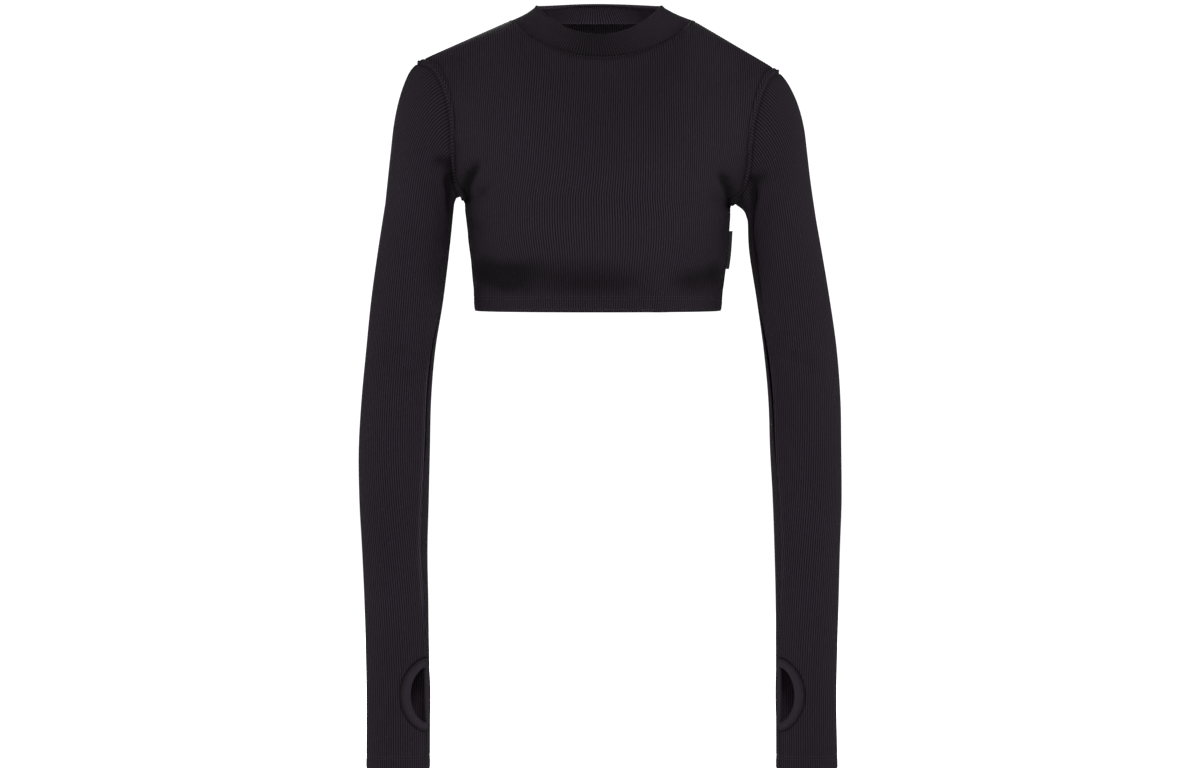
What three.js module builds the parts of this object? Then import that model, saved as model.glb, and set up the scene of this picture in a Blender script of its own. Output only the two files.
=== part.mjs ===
// Cropped mock-neck top in fine rib knit, filled out as when worn: front, back, two long sleeves with
// a thumbhole in each cuff, a folded collar and a small blank label in the left side seam.
// Millimetres, +Z up, front towards -Y, the wearer's left towards +X.
// The origin lies between the two neck points, where the wearer's neck and shoulders hold the top.
import * as THREE from "three";

// Cloth
const wall = 1.8;
const turnedWall = 2.8;
const collarWall = 2.4;
const rimWall = 2.2;
const bandWall = 1;
const seamGap = 0.3;
const seamMatch = 0.05;
const turnUp = 12;
const turnUpStep = 1.5;

// Ribs of the collar's outer face: half ribs between two columns of its grid, and their height
const halfRibs = 14;
const ribHeight = 0.3;
const ribHeightAtSeam = 0.05;

// Main heights
const hemZ = -291;
const cuffMiddleZ = -717;
const cuffZ = -746;

// Grid of each piece
const shoulderColumns = 6;
const neckColumns = 12;
const bodyColumns = 2 * shoulderColumns + neckColumns;
const plainSideRows = 7;
const armholeRows = 10;
const capRings = 6;
const armRings = 18;
const thumbRings = 8;
const collarRows = 4;
const bandColumns = 24;
const bandRows = 2;
const curveSteps = 60;

// Body, a row for each level: reach of the cloth in front of the side seams and behind them
const bodyLevels = [
  { z: -291, front: 86, back: 82 },
  { z: -262, front: 85, back: 80 },
  { z: -236, front: 95, back: 83 },
  { z: -205, front: 109, back: 90 },
  { z: -170, front: 108, back: 97 },
  { z: -130, front: 98, back: 101 },
  { z: -90, front: 87, back: 99 },
  { z: -50, front: 76, back: 92 },
  { z: 0, front: 62, back: 80 },
];

// How the section turns at the panel's edges: fully round at the side seams, open at the shoulders
const sideTurn = { power: 2.35, root: 2.2 };
const shoulderTurn = { power: 2.3, root: 1.2 };
const shoulderRounding = 78;
const upperRowEase = 1.3;
const edgeBlend = 0.12;

// Side seams, a row for each level
const sideSeams = {
  right: [
    { z: -291, x: -124 },
    { z: -260, x: -127 },
    { z: -235, x: -129.5 },
    { z: -205, x: -133 },
    { z: -180, x: -136 },
  ],
  left: [
    { z: -291, x: 120 },
    { z: -260, x: 124 },
    { z: -235, x: 127.5 },
    { z: -205, x: 129.5 },
    { z: -184, x: 131 },
  ],
};

// Armhole seams from the underarm to the shoulder tip, a row for each point
const armholes = {
  right: [
    { x: -136, z: -180, front: 0, back: 0 },
    { x: -140, z: -170, front: 22, back: 20 },
    { x: -143.5, z: -150, front: 36, back: 33 },
    { x: -144.5, z: -125, front: 43, back: 41 },
    { x: -145.5, z: -102, front: 43, back: 42 },
    { x: -148.5, z: -84, front: 40, back: 40 },
    { x: -155, z: -64, front: 32, back: 32 },
    { x: -165, z: -48, front: 19, back: 19 },
    { x: -180, z: -41, front: 0, back: 0 },
  ],
  left: [
    { x: 131, z: -184, front: 0, back: 0 },
    { x: 139, z: -172, front: 22, back: 20 },
    { x: 145, z: -153, front: 36, back: 33 },
    { x: 147, z: -128, front: 43, back: 41 },
    { x: 149.5, z: -106, front: 43, back: 42 },
    { x: 153.5, z: -89, front: 40, back: 40 },
    { x: 159.5, z: -71, front: 32, back: 32 },
    { x: 167, z: -57, front: 19, back: 19 },
    { x: 176.5, z: -50, front: 0, back: 0 },
  ],
};

// Neckline seam and collar rim: left and right ends, then the middle of the front and of the back
const neckline = {
  rightX: -88,
  leftX: 92,
  sideY: 4,
  sideZ: 0,
  frontY: -60,
  frontZ: -41.5,
  backY: 62,
  backZ: 2,
};
const collarRim = {
  rightX: -63,
  leftX: 61,
  sideY: 4,
  sideZ: 15,
  frontY: -49,
  frontZ: -18.5,
  backY: 52,
  backZ: 21,
};
const neckDip = 1.6;
const collarSwell = 1.2;
const collarWaist = 2.4;

// Sleeve cap: outer line from the shoulder tip, and the fold of the underarm, a row for each point
const capOuter = {
  right: [
    { x: -180, z: -41 },
    { x: -189, z: -50 },
    { x: -195, z: -62 },
    { x: -201, z: -80 },
    { x: -206, z: -104 },
    { x: -209, z: -130 },
    { x: -212, z: -158 },
    { x: -214.5, z: -183 },
  ],
  left: [
    { x: 176.5, z: -50 },
    { x: 185.5, z: -60 },
    { x: 193, z: -73 },
    { x: 199, z: -88 },
    { x: 204, z: -108 },
    { x: 207, z: -132 },
    { x: 210.5, z: -162 },
    { x: 216, z: -200 },
  ],
};
const capInner = {
  right: [
    { x: -136, z: -180 },
    { x: -139.5, z: -177.5 },
    { x: -143.5, z: -178 },
    { x: -146, z: -183 },
  ],
  left: [
    { x: 131, z: -184 },
    { x: 137, z: -185.5 },
    { x: 144, z: -191 },
    { x: 148, z: -200 },
  ],
};

// Sleeves, a row for each level: outer and inner edge, front-to-back size and how far back its middle is
const sleeves = {
  right: [
    { z: -183, outer: -214.5, inner: -146, deep: 88, middle: 0 },
    { z: -230, outer: -222, inner: -151, deep: 86, middle: 3 },
    { z: -280, outer: -229, inner: -157, deep: 82, middle: 5 },
    { z: -330, outer: -234, inner: -165, deep: 78, middle: 5 },
    { z: -380, outer: -238.5, inner: -169, deep: 75, middle: 2 },
    { z: -430, outer: -241, inner: -170, deep: 72, middle: -3 },
    { z: -480, outer: -240, inner: -171, deep: 66, middle: -8 },
    { z: -530, outer: -237, inner: -172, deep: 59, middle: -13 },
    { z: -580, outer: -234.5, inner: -171, deep: 52, middle: -17 },
    { z: -630, outer: -233, inner: -170, deep: 47, middle: -20 },
    { z: -680, outer: -232, inner: -169, deep: 44, middle: -23 },
    { z: -746, outer: -232, inner: -169, deep: 42, middle: -26 },
  ],
  left: [
    { z: -200, outer: 216, inner: 148, deep: 88, middle: 0 },
    { z: -230, outer: 221.5, inner: 149.5, deep: 86, middle: 3 },
    { z: -280, outer: 230, inner: 157, deep: 82, middle: 5 },
    { z: -330, outer: 237, inner: 164, deep: 78, middle: 5 },
    { z: -380, outer: 240.5, inner: 168.5, deep: 75, middle: 2 },
    { z: -430, outer: 241, inner: 170, deep: 72, middle: -3 },
    { z: -480, outer: 241, inner: 172.5, deep: 66, middle: -8 },
    { z: -530, outer: 239, inner: 174, deep: 59, middle: -13 },
    { z: -580, outer: 237.5, inner: 175, deep: 52, middle: -17 },
    { z: -630, outer: 236, inner: 175, deep: 47, middle: -20 },
    { z: -680, outer: 235, inner: 175, deep: 44, middle: -23 },
    { z: -746, outer: 236, inner: 175, deep: 42, middle: -26 },
  ],
};

// The sleeve seam leaves the underarm and turns to the front of the arm, in degrees from the inner edge
const seamTurn = [
  { z: -183, turn: 0 },
  { z: -260, turn: 6 },
  { z: -330, turn: 24 },
  { z: -420, turn: 28 },
  { z: -520, turn: 34 },
  { z: -600, turn: 26 },
  { z: -660, turn: 28 },
  { z: -746, turn: 28 },
];

// Thumbhole: a half moon in the sleeve seam, bound by a band
const thumbMiddleZ = -672;
const thumbHalfHeight = 28;
const thumbReach = 39;
const bandWidth = 9;
const bandReach = 19;
const bandBackReach = 20;

// Largest folds, a row for each: panel, ends seen from the front, width and depth of the trough
const bodyFolds = [
  { face: "front", x0: -134, z0: -178, x1: -88, z1: -132, wide: 11, deep: 3 },
  { face: "front", x0: 134, z0: -182, x1: 92, z1: -140, wide: 11, deep: 2.5 },
  { face: "front", x0: -118, z0: -246, x1: 40, z1: -260, wide: 18, deep: 3 },
  { face: "back", x0: -134, z0: -178, x1: -84, z1: -140, wide: 12, deep: 3 },
  { face: "back", x0: 130, z0: -182, x1: 86, z1: -136, wide: 12, deep: 3 },
];

// How a fold fades in and out, as shares of its length
const foldStart = [-0.15, 0.2];
const foldEnd = [0.6, 1.1];

// Side label, a blank folded tab
const labelTopZ = -211;
const labelHeight = 38;
const labelReach = 3.4;
const labelWall = 1.4;
const labelSteps = 4;

const cloth = { color: 0x272228, roughness: 0.92, metalness: 0 };
const ribbing = { color: 0x252026, roughness: 0.9, metalness: 0 };
const tape = { color: 0x1d1a1f, roughness: 0.7, metalness: 0 };

const faces = {
  front: { name: "front", from: "right", to: "left", sign: -1 },
  back: { name: "back", from: "left", to: "right", sign: 1 },
};
const sides = {
  right: { name: "right", outward: -1 },
  left: { name: "left", outward: 1 },
};

const { clamp, lerp, smoothstep, degToRad } = THREE.MathUtils;

// A named column of a table at height z, on a smooth curve through its rows
function level(rows, z, name) {
  const last = rows.length - 1;
  const falling = rows[0].z > rows[last].z ? -1 : 1;
  let i = 0;
  while (i < last - 1 && (z - rows[i + 1].z) * falling > 0) {
    i += 1;
  }
  const slope = (k) => {
    const before = rows[Math.max(k - 1, 0)];
    const after = rows[Math.min(k + 1, last)];
    return (after[name] - before[name]) / (after.z - before.z);
  };
  const span = rows[i + 1].z - rows[i].z;
  const t = clamp((z - rows[i].z) / span, 0, 1);
  const start = (1 + 2 * t) * (1 - t) ** 2 * rows[i][name];
  const end = (3 - 2 * t) * t ** 2 * rows[i + 1][name];
  const lean = t * (1 - t) ** 2 * slope(i) - t ** 2 * (1 - t) * slope(i + 1);
  return start + end + lean * span;
}

function smoothCurve(points) {
  return new THREE.CatmullRomCurve3(points, false, "centripetal");
}

// Half of the neckline or of the collar rim, evenly spaced from one side to the other
function neckArc(ring, face) {
  const points = [];
  const fromX = ring[`${face.from}X`];
  const toX = ring[`${face.to}X`];
  for (let i = 0; i <= curveSteps; i += 1) {
    const angle = (Math.PI * i) / curveSteps;
    const bow = Math.sin(angle);
    const x = lerp(fromX, toX, (1 - Math.cos(angle)) / 2);
    const y = lerp(ring.sideY, ring[`${face.name}Y`], bow);
    const z = lerp(ring.sideZ, ring[`${face.name}Z`], bow ** neckDip);
    points.push(new THREE.Vector3(x, y, z));
  }
  return smoothCurve(points).getSpacedPoints(neckColumns);
}

function armholeCurve(side, face) {
  const place = (row) => new THREE.Vector3(row.x, face.sign * row[face.name], row.z);
  return smoothCurve(armholes[side].map(place));
}

// The panel's upper edge: shoulder seam, half of the neckline, shoulder seam
function upperEdge(face) {
  const arc = neckArc(neckline, face);
  const tips = [armholeCurve(face.from, face).getPoint(1), armholeCurve(face.to, face).getPoint(1)];
  const points = [];
  for (let i = 0; i < shoulderColumns; i += 1) {
    points.push(tips[0].clone().lerp(arc[0], i / shoulderColumns));
  }
  points.push(...arc);
  for (let i = 1; i <= shoulderColumns; i += 1) {
    points.push(arc[neckColumns].clone().lerp(tips[1], i / shoulderColumns));
  }
  return points;
}

// Heights of the side rows as shares of the side seam: the turn-up first, then even steps
const sideLength = sideSeams.right.at(-1).z - hemZ;
const sideShares = [0, turnUp / sideLength, (turnUp + turnUpStep) / sideLength];
const firstPlain = sideShares[2];
for (let i = 1; i <= plainSideRows; i += 1) {
  sideShares.push(lerp(firstPlain, 1, i / plainSideRows));
}
const sideRows = sideShares.length - 1;
const seamTops = { right: sideSeams.right.at(-1).z, left: sideSeams.left.at(-1).z };

function edgePoint(side, face, row) {
  if (row > sideRows) {
    return armholeCurve(side, face).getPointAt((row - sideRows) / armholeRows);
  }
  const seam = sideSeams[side];
  const z = lerp(hemZ, seam.at(-1).z, sideShares[row]);
  return new THREE.Vector3(level(seam, z, "x"), 0, z);
}

function foldDepth(face, point) {
  const start = new THREE.Vector2();
  const along = new THREE.Vector2();
  const here = new THREE.Vector2();
  let depth = 0;
  for (const fold of bodyFolds.filter((row) => row.face === face.name)) {
    start.set(fold.x0, fold.z0);
    along.set(fold.x1 - fold.x0, fold.z1 - fold.z0);
    here.set(point.x, point.z).sub(start);
    const share = here.dot(along) / along.lengthSq();
    const ends = smoothstep(share, ...foldStart) * (1 - smoothstep(share, ...foldEnd));
    const off = Math.abs(here.cross(along)) / along.length();
    depth += fold.deep * ends * Math.exp(-((off / fold.wide) ** 2));
  }
  return depth;
}

// One row of a body panel, from side to side
function bodyRow(face, row, upper) {
  const from = edgePoint(face.from, face, row);
  const to = edgePoint(face.to, face, row);
  const rise = Math.max(row - sideRows, 0) / armholeRows;
  const easedRise = 1 - (1 - rise) ** upperRowEase;
  const [firstTip, lastTip] = [upper[0], upper.at(-1)];
  const [underFrom, underTo] = [seamTops[face.from], seamTops[face.to]];
  const climbedFrom = (from.z - underFrom) / (firstTip.z - underFrom);
  const climbedTo = (to.z - underTo) / (lastTip.z - underTo);
  const rowZ = (from.z + to.z) / 2;
  const power = lerp(sideTurn.power, shoulderTurn.power, rise);
  const root = lerp(sideTurn.root, shoulderTurn.root, Math.sqrt(rise));
  const middleY = face.sign * level(bodyLevels, rowZ, face.name);
  const section = [];
  for (let i = 0; i <= curveSteps; i += 1) {
    const across = -Math.cos((Math.PI * i) / curveSteps);
    const share = (across + 1) / 2;
    const bow = Math.max(1 - Math.abs(across) ** power, 0) ** (1 / root);
    const x = lerp(from.x, to.x, share);
    const y = lerp(lerp(from.y, to.y, share), middleY, bow);
    section.push(new THREE.Vector3(x, y, rowZ));
  }
  // The bow of the cloth fades towards the shoulders, and the rows bend up to the upper edge
  const points = smoothCurve(section).getSpacedPoints(bodyColumns);
  points.forEach((point, column) => {
    const share = column / bodyColumns;
    const top = upper[column];
    const inset = smoothstep(Math.min(share, 1 - share), 0, edgeBlend);
    if (rise > 0) {
      const place = (point.x - from.x) / (to.x - from.x);
      const topPlace = (top.x - firstTip.x) / (lastTip.x - firstTip.x);
      const edgeY = lerp(from.y, to.y, place);
      const climb = lerp(lerp(climbedFrom, climbedTo, share), easedRise, inset);
      point.z = lerp(lerp(underFrom, underTo, share), top.z, climb);
      const below = clamp((top.z - point.z) / shoulderRounding, 0, 1);
      const rounding = Math.sqrt(1 - (1 - below) ** 2);
      point.y = lerp(top.y, edgeY, lerp(1, rounding, inset)) + (point.y - edgeY) * rounding;
      point.x = lerp(from.x, to.x, lerp(place, topPlace, rise ** 2));
    } else {
      point.z = lerp(from.z, to.z, share);
    }
    point.y -= face.sign * foldDepth(face, point) * inset;
  });
  points[0] = from;
  points[bodyColumns] = to;
  return rise === 1 ? upper.map((point) => point.clone()) : points;
}

function bodyGrid(face) {
  const upper = upperEdge(face);
  const grid = [];
  for (let row = 0; row <= sideRows + armholeRows; row += 1) {
    grid.push(bodyRow(face, row, upper));
  }
  return grid;
}

// A point of the sleeve at height z, its angle taken from the inner edge towards the front
function sleevePoint(side, z, angle) {
  const rows = sleeves[side.name];
  const outer = level(rows, z, "outer");
  const inner = level(rows, z, "inner");
  const halfDeep = level(rows, z, "deep") / 2;
  const x = (outer + inner) / 2 + ((inner - outer) / 2) * Math.cos(angle);
  const y = level(rows, z, "middle") - halfDeep * Math.sin(angle);
  return new THREE.Vector3(x, y, z);
}

function seamAngle(z) {
  return degToRad(level(seamTurn, z, "turn"));
}

// The thumbhole's half moon: how far its front edge stands from the seam, in radians
function thumbAngle(z) {
  const share = (z - thumbMiddleZ) / thumbHalfHeight;
  return degToRad(thumbReach) * Math.sqrt(Math.max(1 - share ** 2, 0));
}

function armHeights(side) {
  const top = sleeves[side.name][0].z;
  const heights = [];
  for (let i = 1; i <= armRings; i += 1) {
    heights.push(lerp(top, thumbMiddleZ + thumbHalfHeight, i / armRings));
  }
  for (let i = 1; i <= thumbRings; i += 1) {
    heights.push(thumbMiddleZ + thumbHalfHeight * Math.cos((Math.PI * i) / thumbRings));
  }
  heights.push(cuffMiddleZ, cuffZ + turnUp + turnUpStep, cuffZ + turnUp, cuffZ);
  return heights;
}

// The cap turns from the armhole's loop to a level ring, hinged at the underarm
function capRing(side, loop, step) {
  const turn = step / capRings;
  const inner = smoothCurve(capInner[side.name].map((row) => new THREE.Vector3(row.x, 0, row.z)));
  const outer = smoothCurve(capOuter[side.name].map((row) => new THREE.Vector3(row.x, 0, row.z)));
  const hinge = inner.getPoint(turn);
  const chord = outer.getPoint(turn).sub(hinge);
  const firstHinge = inner.getPoint(0);
  const firstChord = outer.getPoint(0).sub(firstHinge);
  const firstBow = new THREE.Vector3(firstChord.z, 0, -firstChord.x).normalize();
  const bow = new THREE.Vector3(chord.z, 0, -chord.x).normalize();
  const last = sleeves[side.name][0];
  return loop.map((point, column) => {
    const angle = (Math.PI * column) / armholeRows;
    const offset = point.clone().sub(firstHinge);
    const along = lerp(offset.dot(firstChord) / firstChord.lengthSq(), (1 - Math.cos(angle)) / 2, turn);
    const off = offset.dot(firstBow) * (1 - turn) ** 2;
    const y = lerp(point.y, last.middle - (last.deep / 2) * Math.sin(angle), turn);
    return hinge.clone().addScaledVector(chord, along).addScaledVector(bow, off).setY(y);
  });
}

function sleeveGrid(side) {
  const front = armholeCurve(side.name, faces.front).getSpacedPoints(armholeRows);
  const back = armholeCurve(side.name, faces.back).getSpacedPoints(armholeRows).reverse();
  const loop = [...front, ...back.slice(1)];
  const columns = 2 * armholeRows;
  const grid = [loop];
  for (let step = 1; step <= capRings; step += 1) {
    grid.push(capRing(side, loop, step));
  }
  for (const z of armHeights(side)) {
    const start = seamAngle(z) + thumbAngle(z);
    const end = seamAngle(z) + 2 * Math.PI;
    grid.push(loop.map((_, column) => sleevePoint(side, z, lerp(start, end, column / columns))));
  }
  return grid;
}

function collarGrid() {
  const ring = (table) => Object.values(faces).flatMap((face) => neckArc(table, face).slice(0, -1));
  const base = ring(neckline);
  const rim = ring(collarRim);
  const grid = [];
  for (let row = 0; row <= collarRows; row += 1) {
    const share = row / collarRows;
    const bow = Math.sin(Math.PI * share);
    const across = 1 - (collarWaist / collarRim.leftX) * bow;
    const deep = 1 + (collarSwell / collarRim.backY) * bow;
    grid.push(base.map((point, i) => {
      const mixed = point.clone().lerp(rim[i], share);
      return mixed.multiply(new THREE.Vector3(across, deep, 1));
    }));
  }
  return grid;
}

// Outward normals of a grid; turn is -1 where rows and columns run the other way round
function gridNormals(grid, turn, closed) {
  const rows = grid.length;
  const columns = grid[0].length;
  return grid.map((points, r) => points.map((point, c) => {
    const left = closed ? (c + columns - 1) % columns : Math.max(c - 1, 0);
    const right = closed ? (c + 1) % columns : Math.min(c + 1, columns - 1);
    const across = points[right].clone().sub(points[left]);
    const up = grid[Math.min(r + 1, rows - 1)][c].clone().sub(grid[Math.max(r - 1, 0)][c]);
    return across.cross(up).normalize().multiplyScalar(turn);
  }));
}

// Points that pieces share at a seam get one normal, so that both walls end on the same line
function shareSeamNormals(pieces) {
  const seams = new Map();
  const keyOf = (point) => point.toArray().map((value) => Math.round(value / seamMatch)).join(" ");
  const visit = (action) => {
    for (const piece of pieces) {
      piece.grid.forEach((points, r) => {
        points.forEach((point, c) => action(keyOf(point), piece.normals[r][c]));
      });
    }
  };
  visit((key, normal) => seams.set(key, (seams.get(key) ?? new THREE.Vector3()).add(normal)));
  visit((key, normal) => normal.copy(seams.get(key)).normalize());
}

// Each edge is drawn in by half the seam gap, square to the edge and along the cloth
function drawIn(piece) {
  const { grid, normals, closed } = piece;
  const lastRow = grid.length - 1;
  const lastColumn = grid[0].length - 1;
  const columns = grid[0].length;
  const moves = [];
  const note = (r, c, before, after, inside) => {
    const tangent = after.clone().sub(before).normalize();
    const inward = tangent.cross(normals[r][c]).normalize();
    const toward = inside.clone().sub(grid[r][c]);
    moves.push({ r, c, shift: inward.multiplyScalar(Math.sign(inward.dot(toward)) * seamGap * 0.5) });
  };
  for (const [r, next] of [[0, 1], [lastRow, lastRow - 1]]) {
    for (let c = 0; c <= lastColumn; c += 1) {
      const before = closed ? (c + columns - 1) % columns : Math.max(c - 1, 0);
      const after = closed ? (c + 1) % columns : Math.min(c + 1, lastColumn);
      note(r, c, grid[r][before], grid[r][after], grid[next][c]);
    }
  }
  for (const [c, next] of closed ? [] : [[0, 1], [lastColumn, lastColumn - 1]]) {
    for (let r = 0; r <= lastRow; r += 1) {
      note(r, c, grid[Math.max(r - 1, 0)][c], grid[Math.min(r + 1, lastRow)][c], grid[r][next]);
    }
  }
  for (const { r, c, shift } of moves) {
    grid[r][c] = grid[r][c].clone().add(shift);
  }
}

// A closed solid between two grids of points, outer and inner
function shellGeometry(outer, inner, closed) {
  const rows = outer.length;
  const columns = outer[0].length;
  const positions = [...outer.flat(), ...inner.flat()].flatMap((point) => point.toArray());
  const offset = rows * columns;
  const index = [];
  const quad = (a, b, c, d) => index.push(a, b, c, a, c, d);
  const points = outer.flat();
  const rim = (a, b) => {
    const [inA, inB] = [offset + a, offset + b];
    // The same diagonal on both sides of a seam, so that twisted rims stay parallel
    if (points[a].z < points[b].z) {
      index.push(a, inA, inB, a, inB, b);
    } else {
      index.push(a, inA, b, inA, inB, b);
    }
  };
  const spans = closed ? columns : columns - 1;
  for (let r = 0; r < rows - 1; r += 1) {
    for (let c = 0; c < spans; c += 1) {
      const a = r * columns + c;
      const b = r * columns + ((c + 1) % columns);
      quad(a, b, b + columns, a + columns);
      quad(offset + a, offset + a + columns, offset + b + columns, offset + b);
    }
  }
  for (let c = 0; c < spans; c += 1) {
    const next = (c + 1) % columns;
    const top = (rows - 1) * columns;
    rim(c, next);
    rim(top + next, top + c);
  }
  for (let r = 0; r < rows - 1 && !closed; r += 1) {
    const a = r * columns;
    const b = a + columns - 1;
    rim(a + columns, a);
    rim(b, b + columns);
  }
  const geometry = new THREE.BufferGeometry();
  geometry.setAttribute("position", new THREE.Float32BufferAttribute(positions, 3));
  geometry.setIndex(index);
  if (signedVolume(geometry) < 0) {
    geometry.setIndex(index.reverse());
  }
  geometry.computeVertexNormals();
  return geometry;
}

// The outer points of a closed ring with ribs, ridge and furrow in turn between its columns
function raiseRibs(grid, normals) {
  return grid.map((points, r) => points.flatMap((point, c) => {
    const next = (c + 1) % points.length;
    return Array.from({ length: halfRibs }, (_, step) => {
      const share = step / halfRibs;
      const normal = normals[r][c].clone().lerp(normals[r][next], share).normalize();
      const ridge = r === 0 ? ribHeightAtSeam : ribHeight;
      const height = (c * halfRibs + step) % 2 === 0 ? ridge : 0;
      return point.clone().lerp(points[next], share).addScaledVector(normal, height);
    });
  }));
}

// A closed solid between a ribbed ring and a plain one inside it
function ribbedGeometry(outer, inner) {
  const rows = inner.length;
  const columns = inner[0].length;
  const fine = outer[0].length;
  const offset = rows * fine;
  const index = [];
  const ring = (start, count, out) => {
    for (let r = 0; r < rows - 1; r += 1) {
      for (let c = 0; c < count; c += 1) {
        const a = start + r * count + c;
        const b = start + r * count + ((c + 1) % count);
        const corners = [a, b, b + count, a, b + count, a + count];
        index.push(...(out ? corners : corners.reverse()));
      }
    }
  };
  const edge = (row, below) => {
    const face = (...corners) => index.push(...(below ? corners : corners.reverse()));
    for (let c = 0; c < columns; c += 1) {
      const inA = offset + row * columns + c;
      const inB = offset + row * columns + ((c + 1) % columns);
      const first = c * halfRibs;
      const middle = first + Math.ceil(halfRibs / 2);
      for (let step = first; step < first + halfRibs; step += 1) {
        face(row * fine + step, step < middle ? inA : inB, row * fine + ((step + 1) % fine));
      }
      face(row * fine + middle, inA, inB);
    }
  };
  ring(0, fine, true);
  ring(offset, columns, false);
  edge(0, true);
  edge(rows - 1, false);
  const geometry = new THREE.BufferGeometry();
  const positions = [...outer.flat(), ...inner.flat()].flatMap((point) => point.toArray());
  geometry.setAttribute("position", new THREE.Float32BufferAttribute(positions, 3));
  geometry.setIndex(index);
  if (signedVolume(geometry) < 0) {
    geometry.setIndex(index.reverse());
  }
  geometry.computeVertexNormals();
  return geometry;
}

function signedVolume(geometry) {
  const position = geometry.getAttribute("position");
  const corners = [new THREE.Vector3(), new THREE.Vector3(), new THREE.Vector3()];
  const index = geometry.getIndex().array;
  let volume = 0;
  for (let i = 0; i < index.length; i += 3) {
    corners.forEach((corner, k) => corner.fromBufferAttribute(position, index[i + k]));
    volume += corners[0].dot(corners[1].clone().cross(corners[2]));
  }
  return volume;
}

function namedMesh(name, geometry, finish) {
  const mesh = new THREE.Mesh(geometry, new THREE.MeshStandardMaterial(finish));
  mesh.name = name;
  return mesh;
}

// A cloth piece: its wall goes inward from the outer points, thicker where it is turned up or folded
function clothMesh(piece) {
  const inner = piece.grid.map((points, r) => points.map((point, c) => (
    point.clone().addScaledVector(piece.normals[r][c], -piece.wallAt(r))
  )));
  const geometry = piece.closed
    ? ribbedGeometry(raiseRibs(piece.grid, piece.normals), inner)
    : shellGeometry(piece.grid, inner, false);
  return namedMesh(piece.name, geometry, piece.finish);
}

// The band round a thumbhole lies on the sleeve, just clear of it
function thumbBand(side) {
  const outer = [];
  const inner = [];
  for (let row = 0; row <= bandRows; row += 1) {
    const share = row / bandRows;
    const points = [];
    for (let column = 0; column < bandColumns; column += 1) {
      const round = (2 * Math.PI * column) / bandColumns;
      const z = thumbMiddleZ + (thumbHalfHeight + bandWidth * share) * Math.sin(round);
      const reach = round < Math.PI / 2 || round > 1.5 * Math.PI
        ? lerp(thumbReach, thumbReach + bandReach, share)
        : lerp(1, bandBackReach, share);
      const angle = seamAngle(z) + degToRad(reach) * Math.cos(round);
      const normal = sleeveNormal(side, z, angle);
      const base = sleevePoint(side, z, angle);
      points.push({ base, normal });
    }
    outer.push(points.map(({ base, normal }) => base.clone().addScaledVector(normal, seamGap + bandWall)));
    inner.push(points.map(({ base, normal }) => base.clone().addScaledVector(normal, seamGap)));
  }
  return namedMesh(`thumbhole_band_${side.name}`, shellGeometry(outer, inner, true), ribbing);
}

function sleeveNormal(side, z, angle) {
  const nudge = 0.01;
  const around = sleevePoint(side, z, angle + nudge).sub(sleevePoint(side, z, angle - nudge));
  const down = sleevePoint(side, z - nudge, angle).sub(sleevePoint(side, z + nudge, angle));
  return around.cross(down).normalize().multiplyScalar(-side.outward);
}

// The label stands out of the side seam, its fold outside, and follows the seam's line
function sideLabel() {
  const half = labelWall / 2;
  const profile = new THREE.Shape();
  profile.moveTo(0, -half);
  profile.lineTo(labelReach - half, -half);
  profile.absarc(labelReach - half, 0, half, -Math.PI / 2, Math.PI / 2, false);
  profile.lineTo(0, half);
  const extrusion = { depth: labelHeight, steps: labelSteps, bevelEnabled: false, curveSegments: 6 };
  const geometry = new THREE.ExtrudeGeometry(profile, extrusion);
  const bottomZ = labelTopZ - labelHeight;
  const position = geometry.getAttribute("position");
  for (let i = 0; i < position.count; i += 1) {
    const seamX = level(sideSeams.left, bottomZ + position.getZ(i), "x");
    position.setX(i, position.getX(i) + seamX + seamGap);
  }
  geometry.computeVertexNormals();
  const mesh = namedMesh("side_label", geometry, tape);
  mesh.position.z = bottomZ;
  return mesh;
}

function bodyWall(row) {
  return row <= 1 ? turnedWall : wall;
}

function sleeveWall(row) {
  const rows = 1 + capRings + armHeights(sides.right).length;
  return row >= rows - 2 ? turnedWall : wall;
}

function collarWallAt(row) {
  return row === collarRows ? rimWall : collarWall;
}

const pieces = [
  { name: "front", grid: bodyGrid(faces.front), turn: 1, wallAt: bodyWall, finish: cloth },
  { name: "back", grid: bodyGrid(faces.back), turn: 1, wallAt: bodyWall, finish: cloth },
  { name: "sleeve_right", grid: sleeveGrid(sides.right), turn: 1, wallAt: sleeveWall, finish: cloth },
  { name: "sleeve_left", grid: sleeveGrid(sides.left), turn: -1, wallAt: sleeveWall, finish: cloth },
  { name: "collar", grid: collarGrid(), turn: 1, wallAt: collarWallAt, finish: ribbing, closed: true },
];
for (const piece of pieces) {
  piece.normals = gridNormals(piece.grid, piece.turn, piece.closed);
}
shareSeamNormals(pieces);
pieces.forEach(drawIn);

const top = new THREE.Group();
top.name = "crop_top";
top.add(...pieces.map(clothMesh));
top.add(thumbBand(sides.right), thumbBand(sides.left), sideLabel());

export default top;
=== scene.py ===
"""Cropped mock-neck top in fine black rib knit, filled out as when worn, built round its frame."""
import functools
import math

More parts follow.
